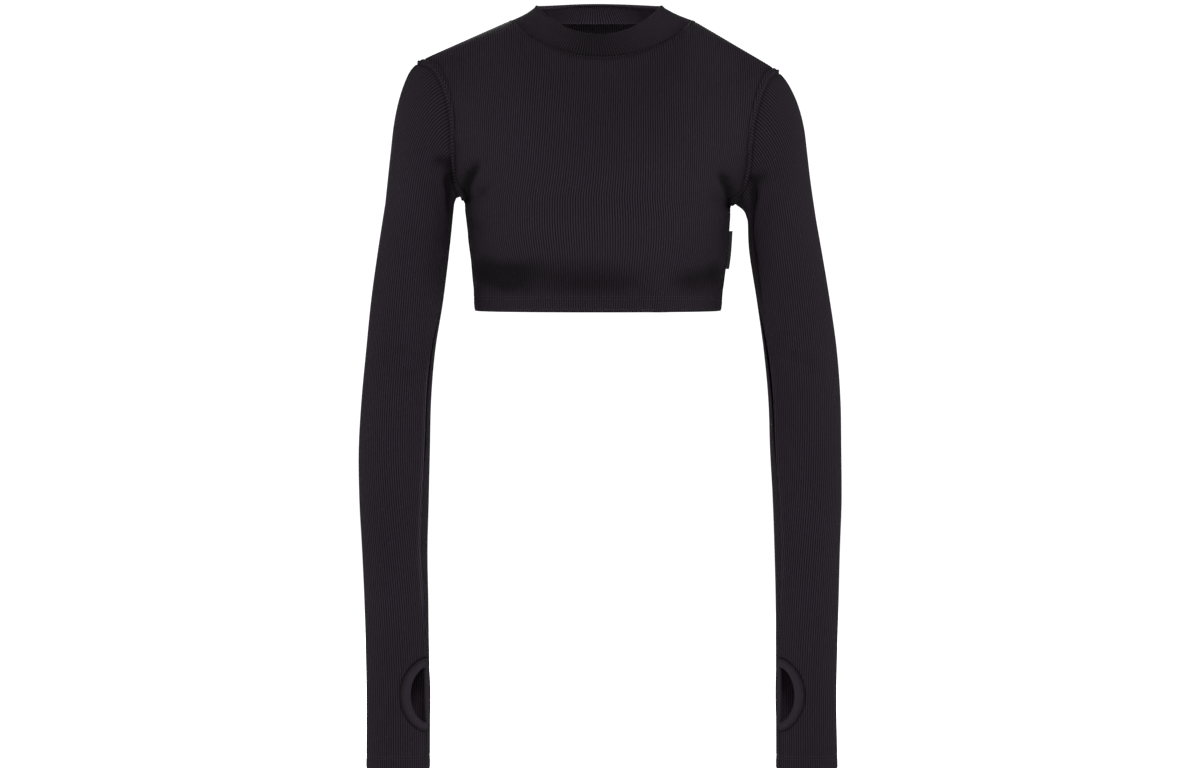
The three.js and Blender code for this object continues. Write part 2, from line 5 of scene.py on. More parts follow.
import bpy
import numpy as np
from bpy.props import FloatProperty, FloatVectorProperty, PointerProperty
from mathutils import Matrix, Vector


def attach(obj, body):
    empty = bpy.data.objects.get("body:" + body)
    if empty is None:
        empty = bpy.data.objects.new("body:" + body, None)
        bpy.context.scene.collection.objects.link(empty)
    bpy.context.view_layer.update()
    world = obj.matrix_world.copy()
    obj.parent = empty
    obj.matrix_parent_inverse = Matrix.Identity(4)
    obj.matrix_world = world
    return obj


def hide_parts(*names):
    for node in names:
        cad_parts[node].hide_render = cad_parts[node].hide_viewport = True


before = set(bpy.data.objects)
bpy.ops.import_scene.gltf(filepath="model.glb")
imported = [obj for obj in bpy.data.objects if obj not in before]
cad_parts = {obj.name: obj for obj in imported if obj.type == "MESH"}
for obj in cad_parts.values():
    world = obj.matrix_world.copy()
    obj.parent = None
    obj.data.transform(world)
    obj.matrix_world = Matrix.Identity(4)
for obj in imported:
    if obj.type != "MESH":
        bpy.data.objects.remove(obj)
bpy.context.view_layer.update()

bl_info = {
    "name": "Ribbed crop top",
    "version": (1, 0, 0),
    "blender": (4, 5, 0),
    "location": "View3D > Sidebar > Crop top",
    "description": "Builds a cropped long-sleeve top in fine rib knit, piece by piece",
    "category": "Object",
}

MM = 0.001


def table(names, rows):
    """A short table with named columns."""
    return dict(zip(names.split(), np.array(rows, float).T))


# Main heights, in millimetres as all sizes below
HEM_Z = -291.0
CUFF_Z = -746.0

# Body: reach of the cloth in front of the side seams and behind them
BODY_LEVELS = table("z front back", [
    (-291, 86, 82),
    (-262, 85, 80),
    (-236, 95, 83),
    (-205, 109, 90),
    (-170, 108, 97),
    (-130, 98, 101),
    (-90, 87, 99),
    (-50, 76, 92),
    (0, 62, 80),
])
SIDE_POWER, SIDE_ROOT = 2.35, 2.2
SHOULDER_POWER, SHOULDER_ROOT = 2.3, 1.2
SHOULDER_ROUNDING = 78.0
UPPER_ROW_EASE = 1.3
EDGE_BLEND = 0.12
CORNER_SOFTNESS = 0.05

SIDE_SEAMS = {
    "right": table("z x", [(-291, -124), (-260, -127), (-235, -129.5), (-205, -133), (-180, -136)]),
    "left": table("z x", [(-291, 120), (-260, 124), (-235, 127.5), (-205, 129.5), (-184, 131)]),
}
ARMHOLES = {
    "right": table("x z front back", [
        (-136, -180, 0, 0),
        (-140, -170, 22, 20),
        (-143.5, -150, 36, 33),
        (-144.5, -125, 43, 41),
        (-145.5, -102, 43, 42),
        (-148.5, -84, 40, 40),
        (-155, -64, 32, 32),
        (-165, -48, 19, 19),
        (-180, -41, 0, 0),
    ]),
    "left": table("x z front back", [
        (131, -184, 0, 0),
        (139, -172, 22, 20),
        (145, -153, 36, 33),
        (147, -128, 43, 41),
        (149.5, -106, 43, 42),
        (153.5, -89, 40, 40),
        (159.5, -71, 32, 32),
        (167, -57, 19, 19),
        (176.5, -50, 0, 0),
    ]),
}

# Neckline seam and collar rim: their ends, then the middle of the front and of the back
NECKLINE = {"right": -88, "left": 92, "side_y": 4, "side_z": 0,
            "front": (-60, -41.5), "back": (62, 2)}
COLLAR_RIM = {"right": -63, "left": 61, "side_y": 4, "side_z": 15,
              "front": (-49, -18.5), "back": (52, 21)}
NECK_DIP = 1.6

# Sleeve cap: its outer line from the shoulder tip, and the fold of the underarm
CAP_OUTER = {
    "right": table("x z", [(-180, -41), (-189, -50), (-195, -62), (-201, -80),
                           (-206, -104), (-209, -130), (-212, -158), (-214.5, -183)]),
    "left": table("x z", [(176.5, -50), (185.5, -60), (193, -73), (199, -88),
                          (204, -108), (207, -132), (210.5, -162), (216, -200)]),
}
CAP_INNER = {
    "right": table("x z", [(-136, -180), (-139.5, -177.5), (-143.5, -178), (-146, -183)]),
    "left": table("x z", [(131, -184), (137, -185.5), (144, -191), (148, -200)]),
}

# Sleeves: outer and inner edge, front-to-back size and how far back the middle is
SLEEVES = {
    "right": table("z outer inner deep middle", [
        (-183, -214.5, -146, 88, 0),
        (-230, -222, -151, 86, 3),
        (-280, -229, -157, 82, 5),
        (-330, -234, -165, 78, 5),
        (-380, -238.5, -169, 75, 2),
        (-430, -241, -170, 72, -3),
        (-480, -240, -171, 66, -8),
        (-530, -237, -172, 59, -13),
        (-580, -234.5, -171, 52, -17),
        (-630, -233, -170, 47, -20),
        (-680, -232, -169, 44, -23),
        (-746, -232, -169, 42, -26),
    ]),
    "left": table("z outer inner deep middle", [
        (-200, 216, 148, 88, 0),
        (-230, 221.5, 149.5, 86, 3),
        (-280, 230, 157, 82, 5),
        (-330, 237, 164, 78, 5),
        (-380, 240.5, 168.5, 75, 2),
        (-430, 241, 170, 72, -3),
        (-480, 241, 172.5, 66, -8),
        (-530, 239, 174, 59, -13),
        (-580, 237.5, 175, 52, -17),
        (-630, 236, 175, 47, -20),
        (-680, 235, 175, 44, -23),
        (-746, 236, 175, 42, -26),
    ]),
}
SEAM_TURN = table("z turn", [(-183, 0), (-260, 6), (-330, 24), (-420, 28),
                             (-520, 34), (-600, 26), (-660, 28), (-746, 28)])
THUMB_Z = -672.0
THUMB_HALF_HEIGHT = 28.0
THUMB_REACH = 39.0

FACES = {
    "front": {"sign": -1, "ends": ("right", "left")},
    "back": {"sign": 1, "ends": ("left", "right")},
}
OUTWARD = {"right": -1, "left": 1}


def lerp(a, b, t):
    return a + (b - a) * t


def smoothstep(value, low, high):
    t = np.clip((value - low) / (high - low), 0, 1)
    return t * t * (3 - 2 * t)


def bump(distance, width):
    return np.exp(-((distance / width) ** 2))


def level(rows, z, name):
    """A column of a table at height z, on a smooth curve through its rows."""
    order = np.argsort(rows["z"])
    heights, values = rows["z"][order], rows[name][order]
    last = len(heights) - 1
    index = np.arange(last + 1)
    before, after = np.maximum(index - 1, 0), np.minimum(index + 1, last)
    slopes = (values[after] - values[before]) / (heights[after] - heights[before])
    i = np.clip(np.searchsorted(heights, z, side="right") - 1, 0, last - 1)
    span = heights[i + 1] - heights[i]
    t = np.clip((z - heights[i]) / span, 0, 1)
    start = (1 + 2 * t) * (1 - t) ** 2 * values[i]
    end = (3 - 2 * t) * t**2 * values[i + 1]
    lean = t * (1 - t) ** 2 * slopes[i] - t**2 * (1 - t) * slopes[i + 1]
    return start + end + lean * span


def smooth_path(points, steps=24):
    """A smooth line through points, as closely spaced points."""
    points = np.asarray(points, float)
    padded = np.vstack([2 * points[0] - points[1], points, 2 * points[-1] - points[-2]])
    share = np.linspace(0, 1, steps, endpoint=False)[:, None]
    path = []
    for before, start, end, after in zip(padded, padded[1:], padded[2:], padded[3:]):
        lead_gap, gap, trail_gap = (np.linalg.norm(b - a) ** 0.5 for a, b in
                                    ((before, start), (start, end), (end, after)))
        lead = (start - before) / lead_gap - (end - before) / (lead_gap + gap) + (end - start) / gap
        trail = (end - start) / gap - (after - start) / (gap + trail_gap) + (after - end) / trail_gap
        lead, trail = lead * gap, trail * gap
        bend = 3 * (end - start) - 2 * lead - trail
        turn = 2 * (start - end) + lead + trail
        path.append(start + share * (lead + share * (bend + share * turn)))
    return np.vstack([*path, points[-1:]])


def lengths_along(path):
    steps = np.linalg.norm(np.diff(path, axis=0), axis=1)
    return np.concatenate([[0], np.cumsum(steps)])


def sample(path, marks, at):
    """Points of a path where its marks, one for each of its points, reach the given values."""
    return np.stack([np.interp(at, marks, path[:, k]) for k in range(path.shape[1])], axis=-1)


def even(path, shares):
    """Points of a path at shares of its length."""
    marks = lengths_along(path)
    return sample(path, marks / marks[-1], shares)


def neck_arc(ring, face):
    """Half of the neckline or of the collar rim, from one side to the other."""
    start, end = FACES[face]["ends"]
    angle = np.linspace(0, math.pi, 121)
    bow = np.sin(angle)
    middle_y, middle_z = ring[face]
    x = lerp(ring[start], ring[end], (1 - np.cos(angle)) / 2)
    y = lerp(ring["side_y"], middle_y, bow)
    z = lerp(ring["side_z"], middle_z, np.maximum(bow, 0) ** NECK_DIP)
    return np.stack([x, y, z], axis=-1)


def armhole_path(side, face):
    rows = ARMHOLES[side]
    points = np.stack([rows["x"], FACES[face]["sign"] * rows[face], rows["z"]], axis=-1)
    return smooth_path(points)


def upper_edge(face, shares):
    """The panel's upper edge: shoulder seam, half of the neckline, shoulder seam."""
    start, end = FACES[face]["ends"]
    arc = neck_arc(NECKLINE, face)
    tips = armhole_path(start, face)[-1], armhole_path(end, face)[-1]
    quarter = shares[:, None] * 4
    neck = even(arc, np.clip((shares - 0.25) * 2, 0, 1))
    first = lerp(tips[0], arc[0], np.clip(quarter, 0, 1))
    last = lerp(arc[-1], tips[1], np.clip(quarter - 3, 0, 1))
    return np.where(quarter < 1, first, np.where(quarter > 3, last, neck))


@functools.cache
def softened_edge(face):
    """The upper edge with its corners at the neck rounded off: shares, then points."""
    shares = np.linspace(0, 1, 401)
    near = bump(shares[:, None] - shares[None], CORNER_SOFTNESS)
    return shares, near @ upper_edge(face, shares) / near.sum(axis=1, keepdims=True)


def side_point(side, face, share, rise):
    """The panel's side edge: share of the side seam, then rise up the armhole."""
    if rise > 0:
        return even(armhole_path(side, face), np.array([rise]))[0]
    seam = SIDE_SEAMS[side]
    z = lerp(HEM_Z, seam["z"].max(), share)
    return np.array([level(seam, z, "x"), 0, z])


def body_row(face, share, rise, shares):
    """One row of a body panel, from side to side."""
    sign = FACES[face]["sign"]
    start_side, end_side = FACES[face]["ends"]
    start = side_point(start_side, face, share, rise)
    end = side_point(end_side, face, share, rise)
    if rise >= 1:
        return upper_edge(face, shares)
    power = lerp(SIDE_POWER, SHOULDER_POWER, rise)
    root = lerp(SIDE_ROOT, SHOULDER_ROOT, math.sqrt(rise))
    across = -np.cos(np.linspace(0, math.pi, 241))
    bow = np.maximum(1 - np.abs(across) ** power, 0) ** (1 / root)
    middle_y = sign * level(BODY_LEVELS, (start[2] + end[2]) / 2, face)
    part = (across + 1) / 2
    edge_y = lerp(start[1], end[1], part)
    section = np.stack([lerp(start[0], end[0], part), edge_y, (middle_y - edge_y) * bow], axis=-1)
    depth_line = np.stack([section[:, 0], section[:, 1] + section[:, 2]], axis=-1)
    marks = lengths_along(depth_line)
    row = sample(section, marks / marks[-1], shares)
    if rise <= 0:
        z = lerp(start[2], end[2], shares)
        return np.stack([row[:, 0], row[:, 1] + row[:, 2], z], axis=-1)
    top = upper_edge(face, shares)
    inset = smoothstep(np.minimum(shares, 1 - shares), 0, EDGE_BLEND)
    under = [side_point(side, face, 1, 0)[2] for side in (start_side, end_side)]
    climbed = [(point[2] - low) / (tip - low) for point, low, tip in
               zip((start, end), under, (top[0, 2], top[-1, 2]))]
    eased = 1 - (1 - rise) ** UPPER_ROW_EASE
    climb = lerp(lerp(climbed[0], climbed[1], shares), eased, inset)
    z = lerp(lerp(under[0], under[1], shares), top[:, 2], climb)
    below = np.clip((top[:, 2] - z) / SHOULDER_ROUNDING, 0, 1)
    soft_shares, soft_top = softened_edge(face)
    soft = smoothstep(below, 0.02, 0.35)
    top_y = lerp(top[:, 1], np.interp(shares, soft_shares, soft_top[:, 1]), soft)
    top_z = lerp(top[:, 2], np.interp(shares, soft_shares, soft_top[:, 2]), soft)
    below = np.clip((top_z - z) / SHOULDER_ROUNDING, 0, 1)
    rounding = np.sqrt(1 - (1 - below) ** 2)
    place = (row[:, 0] - start[0]) / (end[0] - start[0])
    top_place = (top[:, 0] - top[0, 0]) / (top[-1, 0] - top[0, 0])
    moved = lerp(place, top_place, rise**2)
    row_y, row_bow = np.interp(moved, place, row[:, 1]), np.interp(moved, place, row[:, 2])
    y = lerp(top_y, row_y, lerp(1, rounding, inset)) + row_bow * rounding
    return np.stack([lerp(start[0], end[0], moved), y, z], axis=-1)


def arm_point(side, z, angle):
    """Points of the sleeve below the cap, the angle taken from the inner edge to the front."""
    rows = SLEEVES[side]
    outer, inner = level(rows, z, "outer"), level(rows, z, "inner")
    x = (outer + inner) / 2 + (inner - outer) / 2 * np.cos(angle)
    y = level(rows, z, "middle") - level(rows, z, "deep") / 2 * np.sin(angle)
    return np.stack([x, y, np.broadcast_to(z, np.shape(x))], axis=-1)


def seam_angle(z):
    return np.radians(level(SEAM_TURN, z, "turn"))


def thumb_angle(z):
    """How far the thumbhole's front edge stands from the seam."""
    share = (z - THUMB_Z) / THUMB_HALF_HEIGHT
    return math.radians(THUMB_REACH) * np.sqrt(np.maximum(1 - share**2, 0))


def cap_ring(side, turn, shares):
    """A ring of the sleeve cap, from the armhole at turn 0 to the level top of the arm at 1."""
    front = even(armhole_path(side, "front"), np.clip(shares * 2, 0, 1))
    back = even(armhole_path(side, "back"), np.clip(2 - shares * 2, 0, 1))
    loop = np.where(shares[:, None] <= 0.5, front, back)

    def on_line(rows, at):
        path = smooth_path(np.stack([rows["x"], 0 * rows["x"], rows["z"]], axis=-1))
        return sample(path, np.linspace(0, 1, len(path)), np.array([at]))[0]

    hinge = on_line(CAP_INNER[side], turn)
    chord = on_line(CAP_OUTER[side], turn) - hinge
    first_hinge = on_line(CAP_INNER[side], 0)
    first_chord = on_line(CAP_OUTER[side], 0) - first_hinge
    square = np.array([chord[2], 0, -chord[0]]) / np.linalg.norm(chord)
    first_square = np.array([first_chord[2], 0, -first_chord[0]]) / np.linalg.norm(first_chord)
    angle = 2 * math.pi * shares
    offset = loop - first_hinge
    along = lerp(offset @ first_chord / (first_chord @ first_chord), (1 - np.cos(angle)) / 2, turn)
    off = offset @ first_square * (1 - turn) ** 2
    rows = SLEEVES[side]
    y = lerp(loop[:, 1], rows["middle"][0] - rows["deep"][0] / 2 * np.sin(angle), turn)
    ring = hinge + along[:, None] * chord + off[:, None] * square
    ring[:, 1] = y
    return ring


# Knit: rib pitch and depth, walls, and mesh columns to a rib
RIB_PITCH = table("z pitch", [(-291, 2.28), (-250, 2.42), (-205, 2.56), (-150, 2.4), (-90, 2.28), (-41, 2.26)])
SLEEVE_PITCH = 2.32
COLUMNS_PER_RIB = 4
COURSE = 1.15
WALL = 1.5
TURNED_WALL = 2.3
TURN_UP = 12.0
COLLAR_WALL = 2.6
PANEL_RIBS = 82
SLEEVE_RIBS = 55
COLLAR_RIBS = 168

# Painted light and shade of the knit: painted light inside the top, painted shade at its raw edges
# and deep in a crease, painted light outside and inside the collar, painted shade across its front
INSIDE_PAINTED_LIGHT = 2.0
RIM_PAINTED_SHADE = 0.2
CREASE_SHADE = 0.6
COLLAR_PAINTED_LIGHT = (1.2, 2.6)
COLLAR_FRONT_SHADE = 0.55
# Painted light and shade beside each kind of seam: painted shade of the stitch lines, painted light on the
# ridge, painted shade that fades away from the seam and the distance over which it fades
SEAM_PAINTED_LIGHT_AND_SHADE = {
    "armhole": (0.6, 0.3, 0.12, 10),
    "shoulder": (0.15, 0.0, 0.0, 1),
    "side": (0.1, 0.0, 0.32, 14),
    "neckline": (0.25, 0.0, 0.42, 5),
    "sleeve": (0.12, 0.0, 0.0, 1),
}

# Seams: groove in the seam line, ridge that its turnings raise, groove of the stitches beyond, each with
# its depth or height, its distance from the seam line and its width
SEAM_STYLES = {
    "armhole": ((-0.45, 0.0, 0.55), (0.85, 1.2, 2.3), (-0.6, 4.3, 1.0)),
    "shoulder": ((-0.45, 0.0, 0.7), (0.4, 1.6, 1.8), (-0.25, 4.0, 0.9)),
    "side": ((-0.5, 0.0, 0.9), (0.15, 2.6, 1.8), (0.0, 4.0, 1.0)),
    "neckline": ((-0.5, 0.0, 0.8), (0.18, 2.2, 1.7), (-0.25, 4.6, 0.9)),
    "sleeve": ((-0.5, 0.0, 0.8), (0.25, 2.2, 1.6), (0.0, 4.0, 1.0)),
}

# Folds: a trough from one end to the other, its sideways bow, width and depth. On the body the ends are
# x and z. On a sleeve they are the distance round the arm from its outer line, forward positive, and z.
FOLDS = {
    "front": [
        (-139, -182, -117, -142, 2, 6, 4.8),
        (-136, -184, -106, -166, -2, 6, 2.6),
        (-134, -198, -108, -214, -3, 8, 1.2),
        (134, -187, 115, -152, -2, 6, 4.8),
        (132, -190, 106, -172, 2, 6, 2.4),
        (128, -206, 106, -226, 2, 8, 1.0),
        (-126, -246, -66, -264, -5, 17, 3.2),
        (-100, -252, 78, -258, -4, 22, 2.3),
        (124, -250, 62, -264, 5, 16, 2.7),
        (-58, -270, 74, -272, 3, 9, 0.5),
        (-84, -14, -66, -70, 4, 10, 0.9),
        (86, -14, 72, -62, -4, 9, 0.8),
        (-72, -291, -66, -262, 2, 9, 0.5),
        (48, -291, 52, -268, -2, 10, 0.45),
    ],
    "back": [
        (-134, -178, -86, -140, 4, 8, 2.4),
        (-134, -184, -80, -176, -3, 7, 1.6),
        (130, -182, 88, -138, -4, 8, 2.3),
        (130, -190, 84, -186, 3, 7, 1.5),
        (-128, -228, -40, -250, -5, 12, 1.6),
        (126, -232, 30, -254, 6, 12, 1.9),
        (-70, -262, 60, -268, 4, 10, 0.9),
        (-30, -60, 26, -84, 5, 12, 0.7),
        (64, -291, 58, -264, 2, 9, 0.5),
    ],
    "right": [
        (108, -190, 86, -144, 0, 5.5, 4.6),
        (94, -146, 64, -136, 2, 6, 2.6),
        (110, -194, 84, -178, -3, 6, 1.4),
        (112, -212, 82, -222, 3, 7, 1.0),
        (104, -246, 62, -262, -3, 8, 0.9),
        (-108, -188, -60, -146, 5, 7, 2.1),
        (-106, -206, -58, -206, 4, 7, 1.4),
        (70, -322, 26, -342, 3, 6, 1.1),
        (82, -352, 40, -358, -3, 5, 0.9),
        (-52, -330, -14, -352, 4, 6, 1.2),
        (-60, -362, -22, -368, -3, 6, 0.9),
        (60, -470, 30, -484, 2, 6, 0.6),
        (46, -604, 12, -612, 2, 5, 0.6),
        (-40, -636, -10, -628, 2, 5, 0.6),
        (30, -716, 2, -722, 2, 5, 0.5),
    ],
    "left": [
        (108, -206, 86, -158, 0, 5.5, 4.6),
        (94, -162, 68, -152, 2, 6, 2.2),
        (108, -232, 82, -244, 3, 7, 1.2),
        (106, -206, 102, -300, 2, 6, 2.8),
        (-108, -204, -62, -160, 5, 7, 2.1),
        (-106, -222, -60, -220, 4, 7, 1.4),
        (74, -330, 34, -344, 3, 5, 1.7),
        (66, -348, 30, -356, -3, 5, 1.1),
        (88, -306, 56, -318, 2, 6, 0.9),
        (-54, -336, -16, -356, 4, 6, 1.3),
        (-58, -366, -24, -372, -3, 6, 0.9),
        (54, -512, 26, -520, 2, 6, 0.6),
        (44, -616, 14, -624, 2, 5, 0.6),
        (-38, -640, -12, -634, 2, 5, 0.6),
        (28, -720, 4, -716, 2, 5, 0.5),
    ],
}
FOLD_SHOULDER = 0.32
SEAM_STIFF = 4.5


def fold_relief(folds, across, height):
    """How far folds move the cloth outward."""
    relief = np.zeros_like(across)
    for x0, z0, x1, z1, bow, wide, deep in folds:
        run_x, run_z = x1 - x0, z1 - z0
        length = math.hypot(run_x, run_z)
        share = ((across - x0) * run_x + (height - z0) * run_z) / length**2
        off = ((height - z0) * run_x - (across - x0) * run_z) / length
        off = np.abs(off - bow * np.sin(math.pi * np.clip(share, 0, 1)))
        fade = smoothstep(share, -0.15, 0.2) * (1 - smoothstep(share, 0.55, 1.1))
        relief -= deep * fade * (bump(off, wide) - FOLD_SHOULDER * bump(off - 1.9 * wide, wide))
    return relief


def rib_relief(rib):
    """Rounded wales with narrow furrows, from -0.5 to 0.5."""
    off = 2 * np.abs(rib - np.round(rib))
    return 0.5 - off**2.2


def seam_relief(distance, style):
    return sum(height * bump(distance - place, width) for height, place, width in SEAM_STYLES[style])


def painted_seam_light_and_shade(distance, style):
    """Painted shadow in a seam and in the line of stitches beside it, painted light on its ridge, and painted shade
    fading away from it.
    """
    (_, _, seam_width), (_, ridge, ridge_width), (_, line, line_width) = SEAM_STYLES[style]
    shade, light, far_shade, far = SEAM_PAINTED_LIGHT_AND_SHADE[style]
    shadow = 0.5 * bump(distance, seam_width) + bump(distance - line, line_width)
    painted_ridge_glow = light * bump(distance - ridge, 0.7 * ridge_width)
    return (1 - shade * shadow + painted_ridge_glow) * (1 - far_shade * bump(distance, far))


def distance_to(path, points):
    """Least distance of each point from a path's points."""
    path = even(path, np.linspace(0, 1, max(int(lengths_along(path)[-1] / 0.7), 2)))
    parts = [np.linalg.norm(part[:, None] - path[None], axis=-1).min(axis=1)
             for part in np.array_split(points, max(len(points) // 4000, 1))]
    return np.concatenate(parts)


def seam_faces(lines, points):
    """The relief and the painted light and shade that seam lines give to points of the cloth, and how little they
    stiffen it.
    """
    relief, tone, nearest = np.zeros(len(points)), np.ones(len(points)), np.full(len(points), np.inf)
    for style, path in lines:
        distance = distance_to(path, points)
        relief += seam_relief(distance, style)
        tone *= painted_seam_light_and_shade(distance, style)
        nearest = np.minimum(nearest, distance)
    return relief, tone, smoothstep(nearest, 0, SEAM_STIFF)


def deselect():
    if bpy.context.mode != "OBJECT":
        bpy.ops.object.mode_set(mode="OBJECT")
    bpy.ops.object.select_all(action="DESELECT")


def edit_all(*steps):
    """Runs edit-mode operators on the whole of the active mesh."""
    bpy.ops.object.mode_set(mode="EDIT")
    bpy.ops.mesh.select_all(action="SELECT")
    for step in steps:
        step()
    bpy.ops.object.mode_set(mode="OBJECT")


def name_piece(name):
    piece = bpy.context.object
    piece.name = name
    piece.data.name = name
    return piece


def read_points(mesh):
    points = np.empty(len(mesh.vertices) * 3)
    mesh.vertices.foreach_get("co", points)
    return points.reshape(-1, 3) / MM


def write_points(mesh, points):
    mesh.vertices.foreach_set("co", (points * MM).reshape(-1))
    mesh.update()


def read_normals(mesh):
    normals = np.empty(len(mesh.vertices) * 3)
    mesh.vertex_normals.foreach_get("vector", normals)
    return normals.reshape(-1, 3)


def write_mark(mesh, name, values):
    mark = mesh.attributes.new(name, "FLOAT", "POINT")
    mark.data.foreach_set("value", np.ascontiguousarray(values, dtype=np.float32).reshape(-1))


def read_mark(mesh, name):
    values = np.empty(len(mesh.vertices), dtype=np.float32)
    mesh.attributes[name].data.foreach_get("value", values)
    return values.astype(float)


def knit_map(mesh, rounds=None):
    """A UV map that counts ribs across and courses along, for the knit's fine stitches.

    rounds, on a closed ring of four-sided faces, is what each count reaches in one round.
    """
    corners = np.empty(len(mesh.loops), dtype=np.int32)
    mesh.loops.foreach_get("vertex_index", corners)
    places = np.stack([read_mark(mesh, "rib")[corners], read_mark(mesh, "run")[corners]], axis=-1)
    if rounds is not None:
        faces = places.reshape(-1, 4, 2)
        wrapped = faces.max(axis=1, keepdims=True) - faces > np.array(rounds) / 2
        places = (faces + wrapped * np.array(rounds)).reshape(-1, 2)
    places = places / [1, COURSE]
    layer = mesh.uv_layers[0] if mesh.uv_layers else mesh.uv_layers.new()
    layer.name = "knit"
    layer.data.foreach_set("uv", places.astype(np.float32).reshape(-1))


def cloth_sheet(name, points, marks):
    """A single sheet from rows of points. Columns that a seam has cut off collapse and are merged."""
    rows, columns = points.shape[:2]
    deselect()
    bpy.ops.mesh.primitive_grid_add(x_subdivisions=columns - 1, y_subdivisions=rows - 1, size=1)
    sheet = name_piece(name)
    write_points(sheet.data, points.reshape(-1, 3))
    for mark, values in marks.items():
        write_mark(sheet.data, mark, values)
    edit_all(lambda: bpy.ops.mesh.remove_doubles(threshold=0.02 * MM))
    return sheet


def on_rim(mesh):
    """Which points of a sheet lie on its open edges."""
    used, ends = np.empty(len(mesh.loops), int), np.empty(len(mesh.edges) * 2, int)
    mesh.loops.foreach_get("edge_index", used)
    mesh.edges.foreach_get("vertices", ends)
    rim = np.zeros(len(mesh.vertices), bool)
    rim[ends.reshape(-1, 2)[np.bincount(used, minlength=len(mesh.edges)) == 1].ravel()] = True
    return rim


def thicken(sheet, outer, inner, tone=1.0):
    """Gives a sheet its wall. outer and inner say how far each point's two faces lie from it."""
    points, normals, rim = read_points(sheet.data), read_normals(sheet.data), on_rim(sheet.data)
    wall = sheet.modifiers.new("wall", "SOLIDIFY")
    wall.thickness = WALL * MM
    wall.offset = -1
    bpy.ops.object.modifier_apply(modifier=wall.name)
    write_points(sheet.data, np.vstack([points + outer[:, None] * normals, points + inner[:, None] * normals]))
    # Painted light and shade: the outer face takes tone, the inner face is painted lighter and its raw edges painted
    # darker
    shade = np.concatenate([np.broadcast_to(tone, len(points)), np.where(rim, RIM_PAINTED_SHADE, INSIDE_PAINTED_LIGHT)])
    write_mark(sheet.data, "tone", shade)
    knit_map(sheet.data)
    bpy.ops.object.shade_smooth()
    return sheet


def painted_crease_shade(relief):
    """Painted shade: the knit is painted darker where a fold presses it in."""
    return 1 - CREASE_SHADE * smoothstep(-relief, 0.4, 3.4)


def turned_wall(distance_up):
    """The wall's thickness above a hem or cuff: double in the turn-up."""
    return lerp(TURNED_WALL, WALL, smoothstep(distance_up, TURN_UP - 1, TURN_UP + 1.5))


def hem_relief(distance_up):
    """A hem's face: rounded at its fold, drawn in along two lines of stitches."""
    fold = -0.7 * bump(distance_up, 1.2)
    lines = bump(distance_up - TURN_UP + 1.4, 0.8) + bump(distance_up - TURN_UP - 1.6, 0.8)
    return fold + 0.15 * smoothstep(TURN_UP - distance_up, -3, 3) - 0.32 * lines


def panel_rows():
    """Rows of a body panel as pairs: share of the side seam, and rise up the armhole."""
    heights = [0, 0.7, 1.8, 4, 7, 9.4, 10.6, 11.6, 12.6, 13.6, 14.8, 17, 20]
    side = 110.0
    shares = [height / side for height in heights]
    shares += list(np.linspace(heights[-1] / side, 1, 27)[1:])
    rises = list(np.linspace(0, 0.94, 34)[1:])
    rises += [0.953, 0.965, 0.975, 0.983, 0.989, 0.9935, 0.9965, 0.9985, 1.0]
    return [(share, 0.0) for share in shares] + [(1.0, rise) for rise in rises]


def panel_sheet(face):
    """A body panel: ribs stand upright at their pitch, and the side seams and armholes cut them."""
    shares = np.linspace(0, 1, 801)
    half = PANEL_RIBS * COLUMNS_PER_RIB
    numbers = np.arange(-half, half + 1) / COLUMNS_PER_RIB
    points, ribs, runs = [], [], []
    for share, rise in panel_rows():
        row = body_row(face, share, rise, shares)
        steps = np.diff(row, axis=0)
        depth_weight = 1 - smoothstep(rise, 0, 1)
        grain = np.sqrt(steps[:, 0] ** 2 + depth_weight * steps[:, 1] ** 2)
        marks = np.concatenate([[0], np.cumsum(grain)])
        marks -= marks[len(marks) // 2]
        pitch = level(RIB_PITCH, row[len(row) // 2, 2], "pitch")
        targets = np.clip(numbers * pitch, marks[0], marks[-1])
        points.append(sample(row, marks, targets))
        ribs.append(targets / pitch)
        runs.append(points[-1][:, 2] - HEM_Z)
    return cloth_sheet(f"{face}_panel", np.array(points), {"rib": np.array(ribs), "run": np.array(runs)})


def panel_seams(face):
    """The panel's seam lines and their styles."""
    seams = []
    for side in FACES[face]["ends"]:
        heights = np.linspace(HEM_Z, SIDE_SEAMS[side]["z"].max(), 60)
        edge = level(SIDE_SEAMS[side], heights, "x")
        seams.append(("side", np.stack([edge, 0 * edge, heights], axis=-1)))
        seams.append(("armhole", armhole_path(side, face)))
    upper = upper_edge(face, np.linspace(0, 1, 401))
    seams += [("shoulder", upper[:101]), ("neckline", upper[100:301]), ("shoulder", upper[300:])]
    return seams


def body_panel(face, rib_depth):
    sheet = panel_sheet(face)
    mesh = sheet.data
    points = read_points(mesh)
    seams, tone, ease = seam_faces(panel_seams(face), points)
    relief = ease * fold_relief(FOLDS[face], points[:, 0], points[:, 2])
    write_points(mesh, points + read_normals(mesh) * relief[:, None])
    up = points[:, 2] - HEM_Z
    knit = rib_depth * rib_relief(read_mark(mesh, "rib"))
    # tone holds the painted light and shade beside the seams and the painted shade in the creases
    return thicken(sheet, knit + seams + hem_relief(up), 0.5 * knit - turned_wall(up), tone * painted_crease_shade(relief))


# Sleeve rows: turns of the cap, then heights above the cuff
CAP_TURNS = [0, 0.004, 0.009, 0.014, 0.02, 0.028, 0.038, 0.05, 0.065, 0.085, 0.11, *np.linspace(0.145, 1, 20)]
CUFF_ROWS = [39, 32, 26, 20, 17, 14.8, 13.6, 12.6, 11.6, 10.6, 9.4, 7, 4, 1.8, 0.7, 0]


